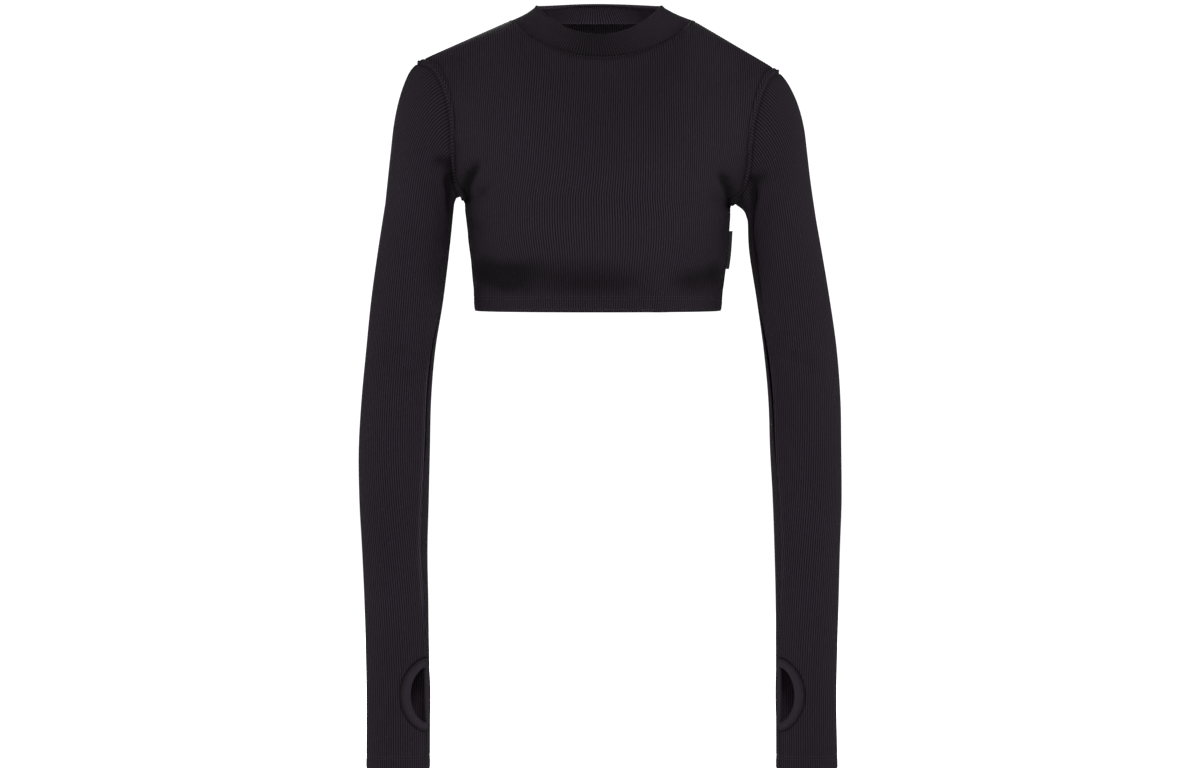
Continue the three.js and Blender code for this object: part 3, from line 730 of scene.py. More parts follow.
def arm_rows(side):
    top = SLEEVES[side]["z"].max()
    hole_top = THUMB_Z + THUMB_HALF_HEIGHT
    upper = np.linspace(top, hole_top, 64)[1:]
    hole = THUMB_Z + THUMB_HALF_HEIGHT * np.cos(np.linspace(0, math.pi, 21))[1:]
    return np.concatenate([upper, hole, CUFF_Z + np.array(CUFF_ROWS)])


def sleeve_sheet(side):
    """A sleeve from the armhole to the cuff, open at its seam. Ribs run along it from the outer line."""
    half = SLEEVE_RIBS * COLUMNS_PER_RIB
    numbers = np.arange(-half, half + 1) / COLUMNS_PER_RIB
    shares = np.linspace(0, 1, 801)
    rows = [(cap_ring(side, turn, shares), 2 * math.pi * shares) for turn in CAP_TURNS]
    rings = len(rows)
    for z in arm_rows(side):
        seam = seam_angle(z)
        angles = lerp(seam + thumb_angle(z), seam + 2 * math.pi, shares)
        rows.append((arm_point(side, z, angles), angles))
    lengths = [lengths_along(row) for row, _ in rows]
    marks = [length - np.interp(math.pi, angles, length) for length, (_, angles) in zip(lengths, rows)]
    girth = marks[rings - 1]
    points, ribs, around = [], [], []
    for index, ((row, _), mark) in enumerate(zip(rows, marks)):
        in_cap = index < rings
        ease = np.where(numbers < 0, mark[0] / girth[0], mark[-1] / girth[-1]) if in_cap else 1.0
        targets = np.clip(numbers * SLEEVE_PITCH * ease, mark[0], mark[-1])
        points.append(sample(row, mark, targets))
        ribs.append(targets / ease / SLEEVE_PITCH)
        around.append(-targets / ease)
    points, ribs, around = np.array(points), np.array(ribs), np.array(around)
    if side == "left":
        points, ribs, around = points[:, ::-1], ribs[:, ::-1], around[:, ::-1]
    marks = {"rib": ribs, "run": points[..., 2] - CUFF_Z, "around": around}
    return cloth_sheet(f"sleeve_{side}_knit", points, marks)


def sleeve_seam(side, turn=0.0):
    """The line of the sleeve seam, or one beside it."""
    heights = np.linspace(SLEEVES[side]["z"].max(), CUFF_Z, 240)
    return arm_point(side, heights, seam_angle(heights) + turn)


# Beside the forearm's seam its turnings lift the cloth in front of it: distance and width of that ridge,
# its height, the heights between which it fades in and out, and how much painted light it gets on each arm
RIDGE_AWAY, RIDGE_WIDE, RIDGE_HIGH = 2.8, 2.3, 0.6
RIDGE_FOOT, RIDGE_TOP, RIDGE_FADE = -605.0, -325.0, 35.0
SLEEVE_RIDGE_PAINTED_LIGHT = {"right": 1.05, "left": 0.45}


def sleeve_ridge(side, points):
    """Which points lie on the ridge in front of the sleeve seam, from 0 to 1."""
    path = sleeve_seam(side)
    path = path[np.argsort(path[:, 2])]
    beyond = np.abs(points[:, 0]) - np.abs(np.interp(points[:, 2], path[:, 2], path[:, 0]))
    height = points[:, 2]
    along = smoothstep(height, RIDGE_FOOT, RIDGE_FOOT + RIDGE_FADE)
    along = along * (1 - smoothstep(height, RIDGE_TOP - RIDGE_FADE, RIDGE_TOP))
    return smoothstep(beyond, 0, 1.5) * along * bump(distance_to(path, points) - RIDGE_AWAY, RIDGE_WIDE)


def sleeve_piece(side, rib_depth):
    sheet = sleeve_sheet(side)
    mesh = sheet.data
    points = read_points(mesh)
    relief = fold_relief(FOLDS[side], read_mark(mesh, "around"), points[:, 2])
    lines = [("armhole", armhole_path(side, face)) for face in FACES] + [("sleeve", sleeve_seam(side))]
    seams, tone, ease = seam_faces(lines, points)
    relief = relief * ease
    ridge = sleeve_ridge(side, points)
    # The ridge in front of the seam is painted lighter
    seams, tone = seams + RIDGE_HIGH * ridge, tone * (1 + SLEEVE_RIDGE_PAINTED_LIGHT[side] * ridge)
    write_points(mesh, points + read_normals(mesh) * relief[:, None])
    up = points[:, 2] - CUFF_Z
    knit = rib_depth * rib_relief(read_mark(mesh, "rib"))
    # tone holds the painted light and shade beside the seams and ridge and the painted shade in the creases
    return thicken(sheet, knit + seams + hem_relief(up), 0.5 * knit - turned_wall(up), tone * painted_crease_shade(relief))


# Collar: dents as place round the neck in degrees from the wearer's right, width in degrees and depth
COLLAR_SWELL = 1.2
COLLAR_WAIST = 2.4
COLLAR_BEAD = 0.45
COLLAR_DENTS = table("place wide deep", [(38, 16, 1.0), (74, 10, 0.4), (138, 15, 0.9), (205, 18, 0.7),
                                         (262, 12, 0.5), (318, 17, 0.8)])
# Its section, outside then inside: share of the height, and roundings over the rim and under the base
COLLAR_SHARES = np.array([0, 0.04, 0.12, 0.3, 0.5, 0.7, 0.84, 0.9, 0.95, 1])
COLLAR_TURNS = np.radians([36, 72, 108, 144])


def neck_ring(ring):
    """The whole neckline or rim, from the wearer's right round the front and the back, closed."""
    front, back = neck_arc(ring, "front"), neck_arc(ring, "back")
    return np.vstack([front[:-1], back])


def unit(vectors):
    return vectors / np.linalg.norm(vectors, axis=-1, keepdims=True)


def ring_piece(name, points, ribs, runs, rounds, painted_light_and_shade=1.0):
    """A closed ring of cloth. points go round it, and round its section at each place."""
    def close(values):
        values = np.broadcast_to(values, (*points.shape[:2], *np.shape(values)[2:]))
        values = np.concatenate([values, values[:1]])
        return np.concatenate([values, values[:, :1]], axis=1)

    # The given painted light and shade of each point becomes the tone attribute
    piece = cloth_sheet(name, close(points), {"rib": close(ribs), "run": close(runs), "tone": close(painted_light_and_shade)})
    edit_all(lambda: bpy.ops.mesh.normals_make_consistent(inside=False))
    knit_map(piece.data, rounds)
    bpy.ops.object.shade_smooth()
    return piece


def collar_piece(rib_depth):
    """The collar: a band folded double, rolled at its rim, with ribs that run over the fold."""
    count = COLLAR_RIBS * COLUMNS_PER_RIB
    base, rim = neck_ring(NECKLINE), neck_ring(COLLAR_RIM)
    marks = lengths_along(base)
    at = np.arange(count) / count * marks[-1]
    low, high = sample(base, marks, at), sample(rim, marks, at)
    along = unit(np.roll(low, -1, axis=0) - np.roll(low, 1, axis=0))
    rise = unit(high - low)
    outward = unit(np.cross(along, rise))
    ribs = np.arange(count) / COLUMNS_PER_RIB
    knit = rib_depth * rib_relief(ribs)
    degrees = np.arange(count) / count * 360
    dents = sum(deep * bump((degrees - place + 180) % 360 - 180, wide)
                for place, wide, deep in zip(*COLLAR_DENTS.values()))
    half = COLLAR_WALL / 2
    section, runs, painted_light_and_shade = [], [], []

    def add(share, turn, side):
        bow = math.sin(math.pi * share)
        swell = -dents * share * (1.2 - share)
        bead = COLLAR_BEAD * (float(smoothstep(share, 0.8, 0.95)) - 0.5 * float(bump(share - 0.84, 0.04)))
        reach = (half + bead + knit) * math.cos(turn)
        lift = (half + bead + knit) * math.sin(turn)
        shape = (1 - COLLAR_WAIST / COLLAR_RIM["left"] * bow, 1 + COLLAR_SWELL / COLLAR_RIM["back"][0] * bow, 1)
        middle = lerp(low, high, share) * shape - rise * (half if share == 1 else 0)
        middle = middle + rise * (half * 0.6 if share == 0 else 0)
        section.append(middle + outward * (swell - half + reach)[:, None] + rise * lift[:, None])
        runs.append(40 * share + 6 * side)
        # Painted light outside and inside the collar, with painted shade across its front
        outside, inside = COLLAR_PAINTED_LIGHT
        outside = outside - COLLAR_FRONT_SHADE * bump(degrees - 90, 45)
        painted_light_and_shade.append(lerp(outside, inside, float(smoothstep(-math.cos(turn), -0.6, 1))))

    for share in COLLAR_SHARES:
        add(share, 0.0, 0)
    for turn in COLLAR_TURNS:
        add(1.0, turn, 1)
    for share in COLLAR_SHARES[::-1]:
        add(share, math.pi, 2)
    for turn in COLLAR_TURNS:
        add(0.0, math.pi + turn, 3)
    points = np.stack(section, axis=1)
    return ring_piece("collar_band", points, ribs[:, None], np.array([runs]), (COLLAR_RIBS, 1000),
                      np.stack(painted_light_and_shade, axis=1))


# Thumbhole bands: width, and how far they reach from the hole's front edge and from the seam, in degrees.
# The section is a folded strip over the raw edge: share of the width, and height over the sleeve's face.
BAND_WIDTH = 9.0
BAND_REACH, BAND_BACK_REACH = 19.0, 20.0
BAND_PLACES = 132
BAND_RIBS = 0.4
BAND_SECTION = table("share lift", [
    (1.0, 0.28), (1.02, 0.7), (0.98, 1.1), (0.93, 1.3), (0.86, 1.38), (0.8, 1.34), (0.76, 1.12), (0.71, 1.34),
    (0.62, 1.42), (0.5, 1.45), (0.38, 1.45), (0.26, 1.42), (0.14, 1.36), (0.04, 1.2), (-0.05, 0.8),
    (-0.11, 0.1), (-0.12, -0.8), (-0.09, -1.7), (-0.02, -2.3), (0.1, -2.6), (0.3, -2.7), (0.46, -2.5),
    (0.5, -2.1), (0.44, -1.8), (0.26, -1.75), (0.06, -1.7), (-0.01, -1.2), (-0.01, -0.3), (0.05, 0.25),
    (0.3, 0.3), (0.6, 0.3), (0.85, 0.28),
])


def sleeve_normal(side, z, angle):
    step = 0.02
    across = arm_point(side, z, angle + step) - arm_point(side, z, angle - step)
    down = arm_point(side, z - 1, angle) - arm_point(side, z + 1, angle)
    normal = np.cross(across, down) * -OUTWARD[side]
    return unit(normal)


def thumb_band(side):
    turn = 2 * math.pi * np.arange(BAND_PLACES) / BAND_PLACES
    section = []
    for share, lift in zip(*BAND_SECTION.values()):
        z = THUMB_Z + (THUMB_HALF_HEIGHT + BAND_WIDTH * share) * np.sin(turn)
        front = lerp(THUMB_REACH, THUMB_REACH + BAND_REACH, share)
        back = lerp(1, BAND_BACK_REACH, share)
        reach = np.radians(np.where(np.cos(turn) > 0, front, back))
        angle = seam_angle(z) + reach * np.cos(turn)
        section.append(arm_point(side, z, angle) + sleeve_normal(side, z, angle) * lift)
    points = np.stack(section, axis=1)
    ribs = (BAND_SECTION["share"] * BAND_RIBS)[None]
    runs = (turn * THUMB_HALF_HEIGHT)[:, None]
    return ring_piece(f"thumbhole_binding_{side}", points, ribs, runs, (1000, 2 * math.pi * THUMB_HALF_HEIGHT))


# Side label: a blank tape folded in half, its ends sewn into the wearer's left side seam
LABEL_TOP, LABEL_HEIGHT, LABEL_REACH = -211.0, 38.0, 3.5
LABEL_TAPE, LABEL_SPREAD = 0.42, 0.34


def label_piece():
    """The label: a strip that runs out, folds and comes back, slightly bowed."""
    turn = np.linspace(-math.pi / 2, math.pi / 2, 9)
    out = np.concatenate([[-1.0, 0.6, 1.8], LABEL_REACH - 0.6 + 0.6 * np.cos(turn), [1.8, 0.6, -1.0]])
    side = np.concatenate([[-LABEL_SPREAD] * 3, LABEL_SPREAD * np.sin(turn), [LABEL_SPREAD] * 3])
    heights = np.linspace(LABEL_TOP - LABEL_HEIGHT, LABEL_TOP, 39)
    seam = level(SIDE_SEAMS["left"], heights, "x")
    bow = 0.25 * np.sin((heights - LABEL_TOP) / 7)
    x = seam[:, None] + out[None]
    y = side[None] + bow[:, None] * (out[None] / LABEL_REACH) ** 2
    z = np.broadcast_to(heights[:, None], x.shape)
    tape = cloth_sheet("side_label_tape", np.stack([x, y, z], axis=-1), {
        "rib": np.broadcast_to(out, x.shape), "run": z - LABEL_TOP + LABEL_HEIGHT})
    count = len(tape.data.vertices)
    return thicken(tape, np.full(count, 0.0), np.full(count, -LABEL_TAPE))


# Stitches: thread size, and how far rows lie from the edge or seam that they follow
THREAD_RADIUS = 0.2
STITCH_SINK = 0.05
HEM_LINES = (TURN_UP - 1.4, TURN_UP + 1.6)
ARMHOLE_LINES = (1.1, 3.9)
NECKLINE_LINE = 3.6
BAND_LINE = 0.76


def stitches(name, lines, length, gap):
    """Rows of stitches as one piece. Each line is a path on a piece of cloth, whose face they lie on."""
    places, along, facing = [], [], []
    for cloth, path in lines:
        run = lengths_along(path)[-1]
        count = max(int(run / (length + gap)), 1)
        spots = even(path, (np.arange(count) + 0.5) / count)
        ahead = even(path, np.clip((np.arange(count) + 0.6) / count, 0, 1))
        for spot, after in zip(spots, ahead):
            _, near, normal, _ = cloth.closest_point_on_mesh(spot * MM)
            places.append(np.array(near) / MM - STITCH_SINK * np.array(normal))
            along.append(after - spot)
            facing.append(np.array(normal))
    places, along, facing = np.array(places), unit(np.array(along)), np.array(facing)
    side = unit(np.cross(facing, along))
    up = np.cross(along, side)
    deselect()
    bpy.ops.mesh.primitive_uv_sphere_add(segments=6, ring_count=5, radius=MM)
    piece = name_piece(name)
    bead = read_points(piece.data)
    copies = piece.modifiers.new("copies", "ARRAY")
    copies.count = len(places)
    copies.use_relative_offset = False
    copies.use_constant_offset = True
    copies.constant_offset_displace = (3 * MM, 0, 0)
    bpy.ops.object.modifier_apply(modifier=copies.name)
    bulge = bead[:, 2] * length / 2
    drop = -0.35 * THREAD_RADIUS * (bead[:, 2] ** 4) * 2
    points = (places[:, None] + along[:, None] * bulge[None, :, None]
              + side[:, None] * (bead[:, 0] * THREAD_RADIUS)[None, :, None]
              + up[:, None] * (bead[:, 1] * THREAD_RADIUS + drop)[None, :, None])
    write_points(piece.data, points.reshape(-1, 3))
    edit_all(lambda: bpy.ops.mesh.normals_make_consistent(inside=False))
    bpy.ops.object.shade_smooth()
    return piece


def hem_lines(face, cloth):
    """Both stitch lines of a panel's hem."""
    shares = np.linspace(0, 1, 241)
    return [(cloth, body_row(face, up / (SIDE_SEAMS["right"]["z"].max() - HEM_Z), 0.0, shares))
            for up in HEM_LINES]


def cuff_lines(side, cloth):
    angles = np.linspace(0, 2 * math.pi, 121)
    return [(cloth, arm_point(side, CUFF_Z + up, angles + seam_angle(CUFF_Z + up))) for up in HEM_LINES]


def armhole_lines(side, cloth):
    """Two stitch lines on the sleeve beside the armhole seam."""
    shares = np.linspace(0.02, 0.98, 200)
    seam = cap_ring(side, 0.0, shares)
    inward = cap_ring(side, 0.05, shares) - seam
    return [(cloth, seam + unit(inward) * away) for away in ARMHOLE_LINES]


def neckline_lines(panels):
    lines = []
    for face, cloth in panels.items():
        arc = neck_arc(NECKLINE, face)
        middle = np.array([(NECKLINE["right"] + NECKLINE["left"]) / 2, NECKLINE["side_y"], arc[60, 2]])
        lines.append((cloth, arc + unit((arc - middle) * [1, 1, 0]) * NECKLINE_LINE))
    return lines


def band_line(side, cloth):
    turn = np.linspace(0, 2 * math.pi, 121)
    z = THUMB_Z + (THUMB_HALF_HEIGHT + BAND_WIDTH * BAND_LINE) * np.sin(turn)
    front = lerp(THUMB_REACH, THUMB_REACH + BAND_REACH, BAND_LINE)
    back = lerp(1, BAND_BACK_REACH, BAND_LINE)
    angle = seam_angle(z) + np.radians(np.where(np.cos(turn) > 0, front, back)) * np.cos(turn)
    return [(cloth, arm_point(side, z, angle) + sleeve_normal(side, z, angle))]


# Materials
def new_nodes(tree):
    """A function that adds a node, sets its properties and links or sets its inputs."""
    def add(kind, inputs=(), **properties):
        node = tree.nodes.new(kind)
        for key, value in properties.items():
            setattr(node, key, value)
        for key, value in dict(inputs).items():
            socket = node.inputs[key]
            if isinstance(value, bpy.types.NodeSocket):
                tree.links.new(value, socket)
            else:
                socket.default_value = value
        return node
    return add


def math_node(add, operation, *values, clamp=False):
    return add("ShaderNodeMath", enumerate(values), operation=operation, use_clamp=clamp).outputs[0]


def node_group(name, inputs, outputs):
    """An empty shared node group and its ends. inputs and outputs are pairs of name and socket type."""
    tree = bpy.data.node_groups.new(name, "ShaderNodeTree")
    for direction, sockets in (("INPUT", inputs), ("OUTPUT", outputs)):
        for label, kind in sockets:
            tree.interface.new_socket(name=label, in_out=direction, socket_type=f"NodeSocket{kind}")
    add = new_nodes(tree)
    return tree, add, add("NodeGroupInput").outputs, add("NodeGroupOutput").inputs


def stitch_group():
    """Knit stitches in rib and course counts: their height, and how deep in a furrow a point lies."""
    tree, add, given, put = node_group(
        "knit_stitches", [("Place", "Vector")], [("Height", "Float"), ("Furrow", "Float")])
    place = add("ShaderNodeSeparateXYZ", {"Vector": given["Place"]}).outputs
    in_rib = math_node(add, "FRACT", math_node(add, "ADD", place["X"], 0.5))
    off = math_node(add, "MULTIPLY", math_node(add, "ABSOLUTE", math_node(add, "SUBTRACT", in_rib, 0.5)), 2.0)
    furrow = add("ShaderNodeMapRange", {"Value": off, "From Min": 0.36, "From Max": 0.92},
                 interpolation_type="SMOOTHSTEP").outputs["Result"]
    lean = math_node(add, "MULTIPLY", off, 0.55)
    course = math_node(add, "ADD", place["Y"], lean)
    wave = math_node(add, "SINE", math_node(add, "MULTIPLY", course, 2 * math.pi))
    leg = math_node(add, "SINE", math_node(add, "MULTIPLY", off, 2 * math.pi))
    height = math_node(add, "ADD", math_node(add, "MULTIPLY", wave, 0.5), math_node(add, "MULTIPLY", leg, 0.25))
    tree.links.new(height, put["Height"])
    tree.links.new(furrow, put["Furrow"])
    return tree


def fibre_group():
    """Slow tone changes of worn knit, and short stray fibres with a few paler flecks."""
    tree, add, given, put = node_group(
        "fibre_tone", [("Position", "Vector")], [("Tone", "Float"), ("Fuzz", "Float"), ("Fleck", "Float")])
    broad = add("ShaderNodeTexNoise", {"Vector": given["Position"], "Scale": 9.0, "Detail": 3.0}).outputs[0]
    fine = add("ShaderNodeTexNoise", {"Vector": given["Position"], "Scale": 620.0, "Detail": 4.0,
                                      "Roughness": 0.7}).outputs[0]
    stretch = add("ShaderNodeMapping", {"Vector": given["Position"], "Scale": (900.0, 900.0, 260.0),
                                        "Rotation": (0.3, 0.9, 0.2)}).outputs[0]
    specks = add("ShaderNodeTexVoronoi", {"Vector": stretch, "Scale": 0.35}).outputs["Distance"]
    fleck = add("ShaderNodeMapRange", {"Value": specks, "From Min": 0.11, "From Max": 0.04}).outputs["Result"]
    tone = math_node(add, "ADD", math_node(add, "MULTIPLY", broad, 0.35), math_node(add, "MULTIPLY", fine, 0.3))
    tree.links.new(math_node(add, "ADD", tone, 0.675), put["Tone"])
    tree.links.new(fine, put["Fuzz"])
    tree.links.new(fleck, put["Fleck"])
    return tree


def group_node(add, tree, inputs):
    node = add("ShaderNodeGroup", node_tree=tree)
    for key, socket in inputs.items():
        node.id_data.links.new(socket, node.inputs[key])
    return node.outputs


def new_material(name):
    material = bpy.data.materials.new(name)
    material.use_nodes = True
    tree = material.node_tree
    tree.nodes.clear()
    add = new_nodes(tree)
    shader = add("ShaderNodeBsdfPrincipled")
    add("ShaderNodeOutputMaterial", {"Surface": shader.outputs[0]})
    return material, add, shader


def knit_material(name, colour, groups, furrow_shade, bump_depth, sheen):
    """Rib knit: painted shade in its furrows, fine stitches, a soft nap and a little lint, times the painted light
    and shade of the tone attribute.
    """
    material, add, shader = new_material(name)
    knit = group_node(add, groups["stitches"], {"Place": add("ShaderNodeUVMap", uv_map="knit").outputs[0]})
    fibre = group_node(add, groups["fibre"], {"Position": add("ShaderNodeTexCoord").outputs["Object"]})
    # Painted shade deep in the rib furrows and a little in the stitches' hollows, with painted light on their tops
    shade = math_node(add, "SUBTRACT", 1.0, math_node(add, "MULTIPLY", knit["Furrow"], 1 - furrow_shade))
    legs = math_node(add, "ADD", math_node(add, "MULTIPLY", knit["Height"], 0.12), 1.0)
    # The tone attribute's painted light and shade, times the knit's slow random tone changes
    wear_and_painted_light = math_node(add, "MULTIPLY", fibre["Tone"], add("ShaderNodeAttribute", attribute_name="tone").outputs["Fac"])
    value = math_node(add, "MULTIPLY", math_node(add, "MULTIPLY", shade, legs), wear_and_painted_light)
    toned = add("ShaderNodeHueSaturation", {"Color": (*colour, 1), "Value": value}).outputs[0]
    lint = tuple(min(3.2 * part + 0.01, 1) for part in colour)
    linted = add("ShaderNodeMix", {"Factor": math_node(add, "MULTIPLY", fibre["Fleck"], 0.35),
                                   6: toned, 7: (*lint, 1)}, data_type="RGBA").outputs[2]
    height = math_node(add, "ADD", math_node(add, "MULTIPLY", knit["Height"], 0.6), fibre["Fuzz"])
    relief = add("ShaderNodeBump", {"Height": height, "Strength": 0.6, "Distance": bump_depth}).outputs[0]
    rough = add("ShaderNodeMapRange", {"Value": fibre["Fuzz"], "To Min": 0.84, "To Max": 0.96}).outputs["Result"]
    links = shader.id_data.links
    links.new(linted, shader.inputs["Base Color"])
    links.new(rough, shader.inputs["Roughness"])
    links.new(relief, shader.inputs["Normal"])
    shader.inputs["Specular IOR Level"].default_value = 0.05
    shader.inputs["Sheen Weight"].default_value = sheen
    shader.inputs["Sheen Roughness"].default_value = 0.55
    return material


def tape_material(name, colour, groups):
    """Woven tape: a fine plain weave with a faint satin gloss."""
    material, add, shader = new_material(name)
    position = add("ShaderNodeTexCoord").outputs["Object"]
    fibre = group_node(add, groups["fibre"], {"Position": position})
    warp = add("ShaderNodeTexWave", {"Vector": position, "Scale": 420.0}, bands_direction="X").outputs[1]
    weft = add("ShaderNodeTexWave", {"Vector": position, "Scale": 360.0}, bands_direction="Z").outputs[1]
    weave = math_node(add, "MULTIPLY", warp, weft)
    value = math_node(add, "MULTIPLY", fibre["Tone"], math_node(add, "ADD", math_node(add, "MULTIPLY", weave, 0.3), 0.8))
    toned = add("ShaderNodeHueSaturation", {"Color": (*colour, 1), "Value": value}).outputs[0]
    relief = add("ShaderNodeBump", {"Height": weave, "Strength": 0.5, "Distance": 0.0001}).outputs[0]
    links = shader.id_data.links
    links.new(toned, shader.inputs["Base Color"])
    links.new(relief, shader.inputs["Normal"])
    shader.inputs["Roughness"].default_value = 0.72
    shader.inputs["Specular IOR Level"].default_value = 0.12
    return material


def thread_material(name, colour, groups):
    """Sewing thread: twisted plies with a slight gloss."""
    material, add, shader = new_material(name)
    position = add("ShaderNodeTexCoord").outputs["Object"]
    fibre = group_node(add, groups["fibre"], {"Position": position})
    plies = add("ShaderNodeTexWave", {"Vector": position, "Scale": 900.0, "Distortion": 1.0},
                bands_direction="DIAGONAL").outputs[1]
    value = math_node(add, "MULTIPLY", fibre["Tone"], math_node(add, "ADD", math_node(add, "MULTIPLY", plies, 0.35), 0.8))
    toned = add("ShaderNodeHueSaturation", {"Color": (*colour, 1), "Value": value}).outputs[0]
    relief = add("ShaderNodeBump", {"Height": plies, "Strength": 0.5, "Distance": 0.00008}).outputs[0]
    links = shader.id_data.links
    links.new(toned, shader.inputs["Base Color"])
    links.new(relief, shader.inputs["Normal"])
    shader.inputs["Roughness"].default_value = 0.8
    shader.inputs["Specular IOR Level"].default_value = 0.15
    return material


def paper_material(name, colour):
    """The matt paper of the backdrop, with a faint unevenness."""
    material, add, shader = new_material(name)
    position = add("ShaderNodeTexCoord").outputs["Object"]
    grain = add("ShaderNodeTexNoise", {"Vector": position, "Scale": 60.0, "Detail": 3.0}).outputs[0]
    value = add("ShaderNodeMapRange", {"Value": grain, "To Min": 0.985, "To Max": 1.015}).outputs["Result"]
    toned = add("ShaderNodeHueSaturation", {"Color": (*colour, 1), "Value": value}).outputs[0]
    shader.id_data.links.new(toned, shader.inputs["Base Color"])
    shader.inputs["Roughness"].default_value = 0.95
    shader.inputs["Specular IOR Level"].default_value = 0.1
    shader.inputs["Emission Color"].default_value = (1, 1, 1, 1)
    shader.inputs["Emission Strength"].default_value = PAPER_GLOW
    return material


def shared_group(name, make):
    return bpy.data.node_groups.get(name) or make()


def material_groups():
    return {"stitches": shared_group("knit_stitches", stitch_group),
            "fibre": shared_group("fibre_tone", fibre_group)}


def wear(piece, material):
    piece.data.materials.clear()
    piece.data.materials.append(material)


def made(name, make, *parts):
    """A material, made the first time that a piece asks for it."""
    return bpy.data.materials.get(name) or make(name, *parts)


# Stage, in metres
CAMERA_PLACE = (0, -4.0, -0.364)
CAMERA_LENS = 120.0
SENSOR_WIDTH = 36.0
FLOOR_Z = -0.8
FLOOR_SIZE = 24.0
LIGHTS = table("x y z aim_x aim_y aim_z size power", [
    (0.3, -2.3, 1.5, 0, 0, -0.3, 0.9, 66),
    (-0.3, -4.4, 0.1, 0, 0, -0.2, 1.2, 25),
    (-0.5, 2.9, 1.1, 0, 0, -0.3, 1.6, 95),
    (-2.6, 0.3, 0.7, 0, 0, -0.3, 1.2, 36),
    (2.6, 0.3, 0.7, 0, 0, -0.3, 1.2, 36),
])
SKY_STRENGTH = 0.28
SKY_SEEN = 1.15
PAPER_GLOW = 0.78


def floor(colour):
    """A plain sheet of pale paper under the top."""
    deselect()
    bpy.ops.mesh.primitive_plane_add(size=FLOOR_SIZE)
    sheet = name_piece("floor")
    corners = read_points(sheet.data)
    corners[:, 2] = FLOOR_Z / MM
    write_points(sheet.data, corners)
    wear(sheet, made("floor_paper", paper_material, colour))
    return sheet


def aim(thing, target):
    thing.rotation_euler = (Vector(target) - thing.location).to_track_quat("-Z", "Y").to_euler()


def studio():
    scene = bpy.context.scene
    bpy.ops.object.camera_add(location=CAMERA_PLACE, rotation=(math.pi / 2, 0, 0))
    camera = bpy.context.object
    camera.name = "camera"
    camera.data.lens = CAMERA_LENS
    camera.data.sensor_width = SENSOR_WIDTH
    scene.camera = camera
    for index, (x, y, z, aim_x, aim_y, aim_z, size, power) in enumerate(zip(*LIGHTS.values())):
        bpy.ops.object.light_add(type="AREA", location=(x, y, z))
        light = bpy.context.object
        light.name = f"softbox_{index + 1}"
        light.data.size = size
        light.data.energy = power
        aim(light, (aim_x, aim_y, aim_z))
    world = bpy.data.worlds.new("studio")
    world.use_nodes = True
    nodes, links = world.node_tree.nodes, world.node_tree.links
    sky, rays, strength = nodes["Background"], nodes.new("ShaderNodeLightPath"), nodes.new("ShaderNodeMapRange")
    sky.inputs["Color"].default_value = (1, 1, 1, 1)
    strength.inputs["To Min"].default_value = SKY_STRENGTH
    strength.inputs["To Max"].default_value = SKY_SEEN
    links.new(rays.outputs["Is Camera Ray"], strength.inputs["Value"])
    links.new(strength.outputs["Result"], sky.inputs["Strength"])
    scene.world = world
    scene.view_settings.view_transform = "Standard"


class CropTopSettings(bpy.types.PropertyGroup):
    """Colours and sizes of the top that a user would change."""
    knit_colour: FloatVectorProperty(
        name="Knit", description="Colour of the rib knit", subtype="COLOR", size=3, min=0, max=1,
        default=(0.014, 0.0105, 0.0149))
    collar_colour: FloatVectorProperty(
        name="Collar", description="Colour of the collar and the thumbhole bands", subtype="COLOR", size=3,
        min=0, max=1, default=(0.0134, 0.0102, 0.0143))
    label_colour: FloatVectorProperty(
        name="Label", description="Colour of the blank side label", subtype="COLOR", size=3, min=0, max=1,
        default=(0.012, 0.0105, 0.0125))
    thread_colour: FloatVectorProperty(
        name="Thread", description="Colour of the sewing thread", subtype="COLOR", size=3, min=0, max=1,
        default=(0.021, 0.0175, 0.022))
    paper_colour: FloatVectorProperty(
        name="Paper", description="Colour of the floor", subtype="COLOR", size=3, min=0, max=1,
        default=(0.93, 0.93, 0.93))
    rib_depth: FloatProperty(
        name="Rib depth", description="Height of the ribs over their furrows", subtype="DISTANCE",
        unit="LENGTH", default=0.32 * MM, min=0, max=0.6 * MM)
    stitch_length: FloatProperty(
        name="Stitch", description="Length of one stitch", subtype="DISTANCE", unit="LENGTH",
        default=2.3 * MM, min=1 * MM, max=5 * MM)
    stitch_gap: FloatProperty(
        name="Stitch gap", description="Space between two stitches", subtype="DISTANCE", unit="LENGTH",
        default=0.9 * MM, min=0.2 * MM, max=4 * MM)


def settings():
    return bpy.context.scene.crop_top


def rib_material():
    return made("rib_knit_cloth", knit_material, tuple(settings().knit_colour), material_groups(),
                0.14, 0.00022, 0.0)


def collar_material():
    return made("collar_rib_cloth", knit_material, tuple(settings().collar_colour), material_groups(),
                0.14, 0.00022, 0.0)


def sewing_thread():
    return made("sewing_thread", thread_material, tuple(settings().thread_colour), material_groups())


def sew(name, lines):
    """Stitches in thread, riding on the top."""
    chosen = settings()
    piece = stitches(name, lines, chosen.stitch_length / MM, chosen.stitch_gap / MM)
    wear(piece, sewing_thread())
    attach(piece, "root")
    return piece


def settle(piece, node, material):
    """A finished piece stands for its solid."""
    wear(piece, material)
    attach(piece, "root")
    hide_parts(node)


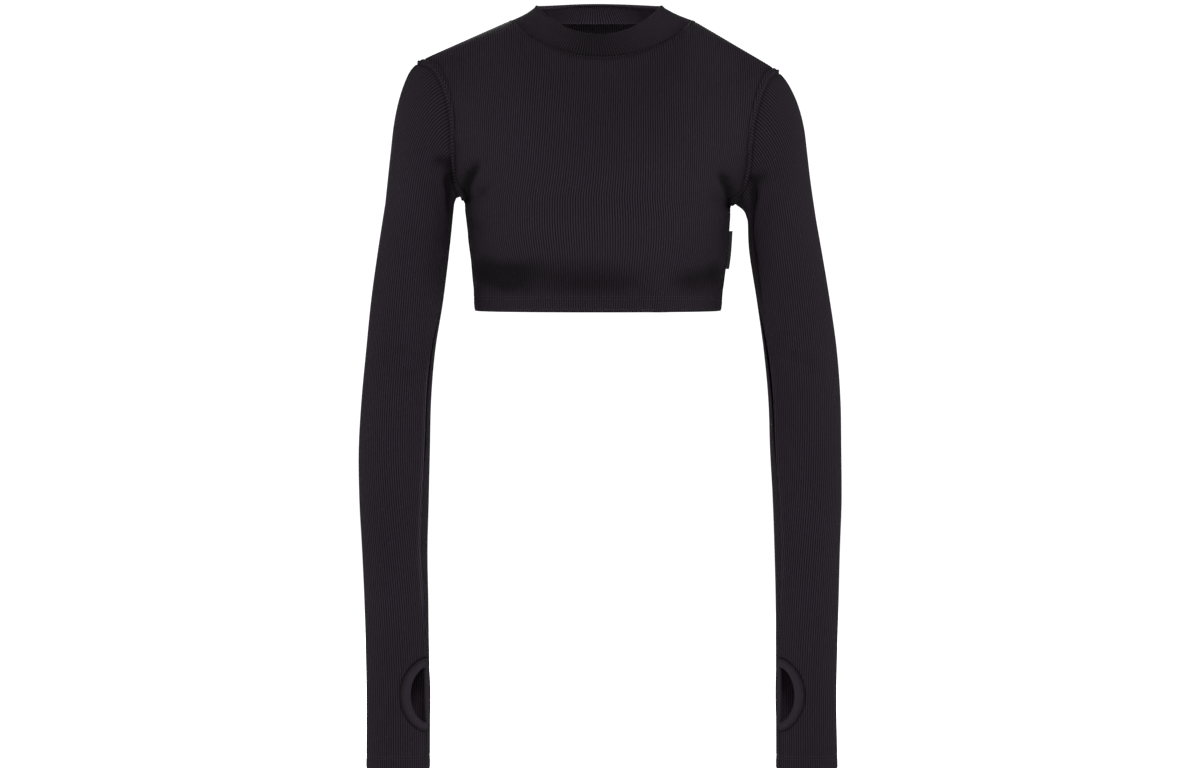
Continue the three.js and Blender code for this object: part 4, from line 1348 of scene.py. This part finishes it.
class CROPTOP_OT_body(bpy.types.Operator):
    """Build the front and back panels with their hem and neckline stitching"""
    bl_idname = "croptop.body"
    bl_label = "Body panels"
    flats = {"front": (0.345, 0.365, 0.104), "back": (0.345, 0.37, 0.107)}

    def execute(self, context):
        depth = settings().rib_depth / MM
        panels = {face: body_panel(face, depth) for face in FACES}
        neckline = neckline_lines(panels)
        for (face, cloth), line in zip(panels.items(), neckline):
            settle(cloth, face, rib_material())
            thread = sew(f"{face}_stitches", [*hem_lines(face, cloth), line])
        return {"FINISHED"}


class CROPTOP_OT_sleeves(bpy.types.Operator):
    """Build both sleeves with their cuff and armhole stitching"""
    bl_idname = "croptop.sleeves"
    bl_label = "Sleeves"
    flat = (0.3, 0.7)
    areas = {"right": 0.135, "left": 0.132}

    def execute(self, context):
        for side in OUTWARD:
            cloth = sleeve_piece(side, settings().rib_depth / MM)
            settle(cloth, f"sleeve_{side}", rib_material())
            lines = [*cuff_lines(side, cloth), *armhole_lines(side, cloth)]
            thread = sew(f"sleeve_{side}_stitches", lines)
        return {"FINISHED"}


class CROPTOP_OT_collar(bpy.types.Operator):
    """Build the folded rib collar"""
    bl_idname = "croptop.collar"
    bl_label = "Collar"

    def execute(self, context):
        band = collar_piece(settings().rib_depth / MM)
        settle(band, "collar", collar_material())
        return {"FINISHED"}


class CROPTOP_OT_thumbholes(bpy.types.Operator):
    """Bind both thumbholes with folded strips"""
    bl_idname = "croptop.thumbholes"
    bl_label = "Thumbhole bands"

    def execute(self, context):
        for side in OUTWARD:
            band = thumb_band(side)
            settle(band, f"thumbhole_band_{side}", collar_material())
            thread = sew(f"thumbhole_stitches_{side}", band_line(side, band))
        return {"FINISHED"}


class CROPTOP_OT_label(bpy.types.Operator):
    """Build the blank folded label in the side seam"""
    bl_idname = "croptop.label"
    bl_label = "Side label"

    def execute(self, context):
        tape = label_piece()
        colour = tuple(settings().label_colour)
        settle(tape, "side_label", made("label_tape_weave", tape_material, colour, material_groups()))
        return {"FINISHED"}


class CROPTOP_OT_stage(bpy.types.Operator):
    """Set up the paper floor, the soft lights and the camera"""
    bl_idname = "croptop.stage"
    bl_label = "Stage"

    def execute(self, context):
        floor(tuple(settings().paper_colour))
        studio()
        return {"FINISHED"}


OPERATORS = (CROPTOP_OT_stage, CROPTOP_OT_body, CROPTOP_OT_sleeves, CROPTOP_OT_collar,
             CROPTOP_OT_thumbholes, CROPTOP_OT_label)


class CROPTOP_PT_panel(bpy.types.Panel):
    """Sidebar panel with the settings and one button for each operator"""
    bl_idname = "CROPTOP_PT_panel"
    bl_label = "Crop top"
    bl_space_type = "VIEW_3D"
    bl_region_type = "UI"
    bl_category = "Crop top"

    def draw(self, context):
        for name in CropTopSettings.__annotations__:
            self.layout.prop(context.scene.crop_top, name)
        for operator in OPERATORS:
            self.layout.operator(operator.bl_idname)


CLASSES = (CropTopSettings, *OPERATORS, CROPTOP_PT_panel)


def register():
    for kind in CLASSES:
        bpy.utils.register_class(kind)
    bpy.types.Scene.crop_top = PointerProperty(type=CropTopSettings)


def unregister():
    del bpy.types.Scene.crop_top
    for kind in reversed(CLASSES):
        bpy.utils.unregister_class(kind)


def main():
    register()
    bpy.ops.croptop.stage()
    bpy.ops.croptop.body()
    bpy.ops.croptop.sleeves()
    bpy.ops.croptop.collar()
    bpy.ops.croptop.thumbholes()
    bpy.ops.croptop.label()


if __name__ == "__main__":
    main()
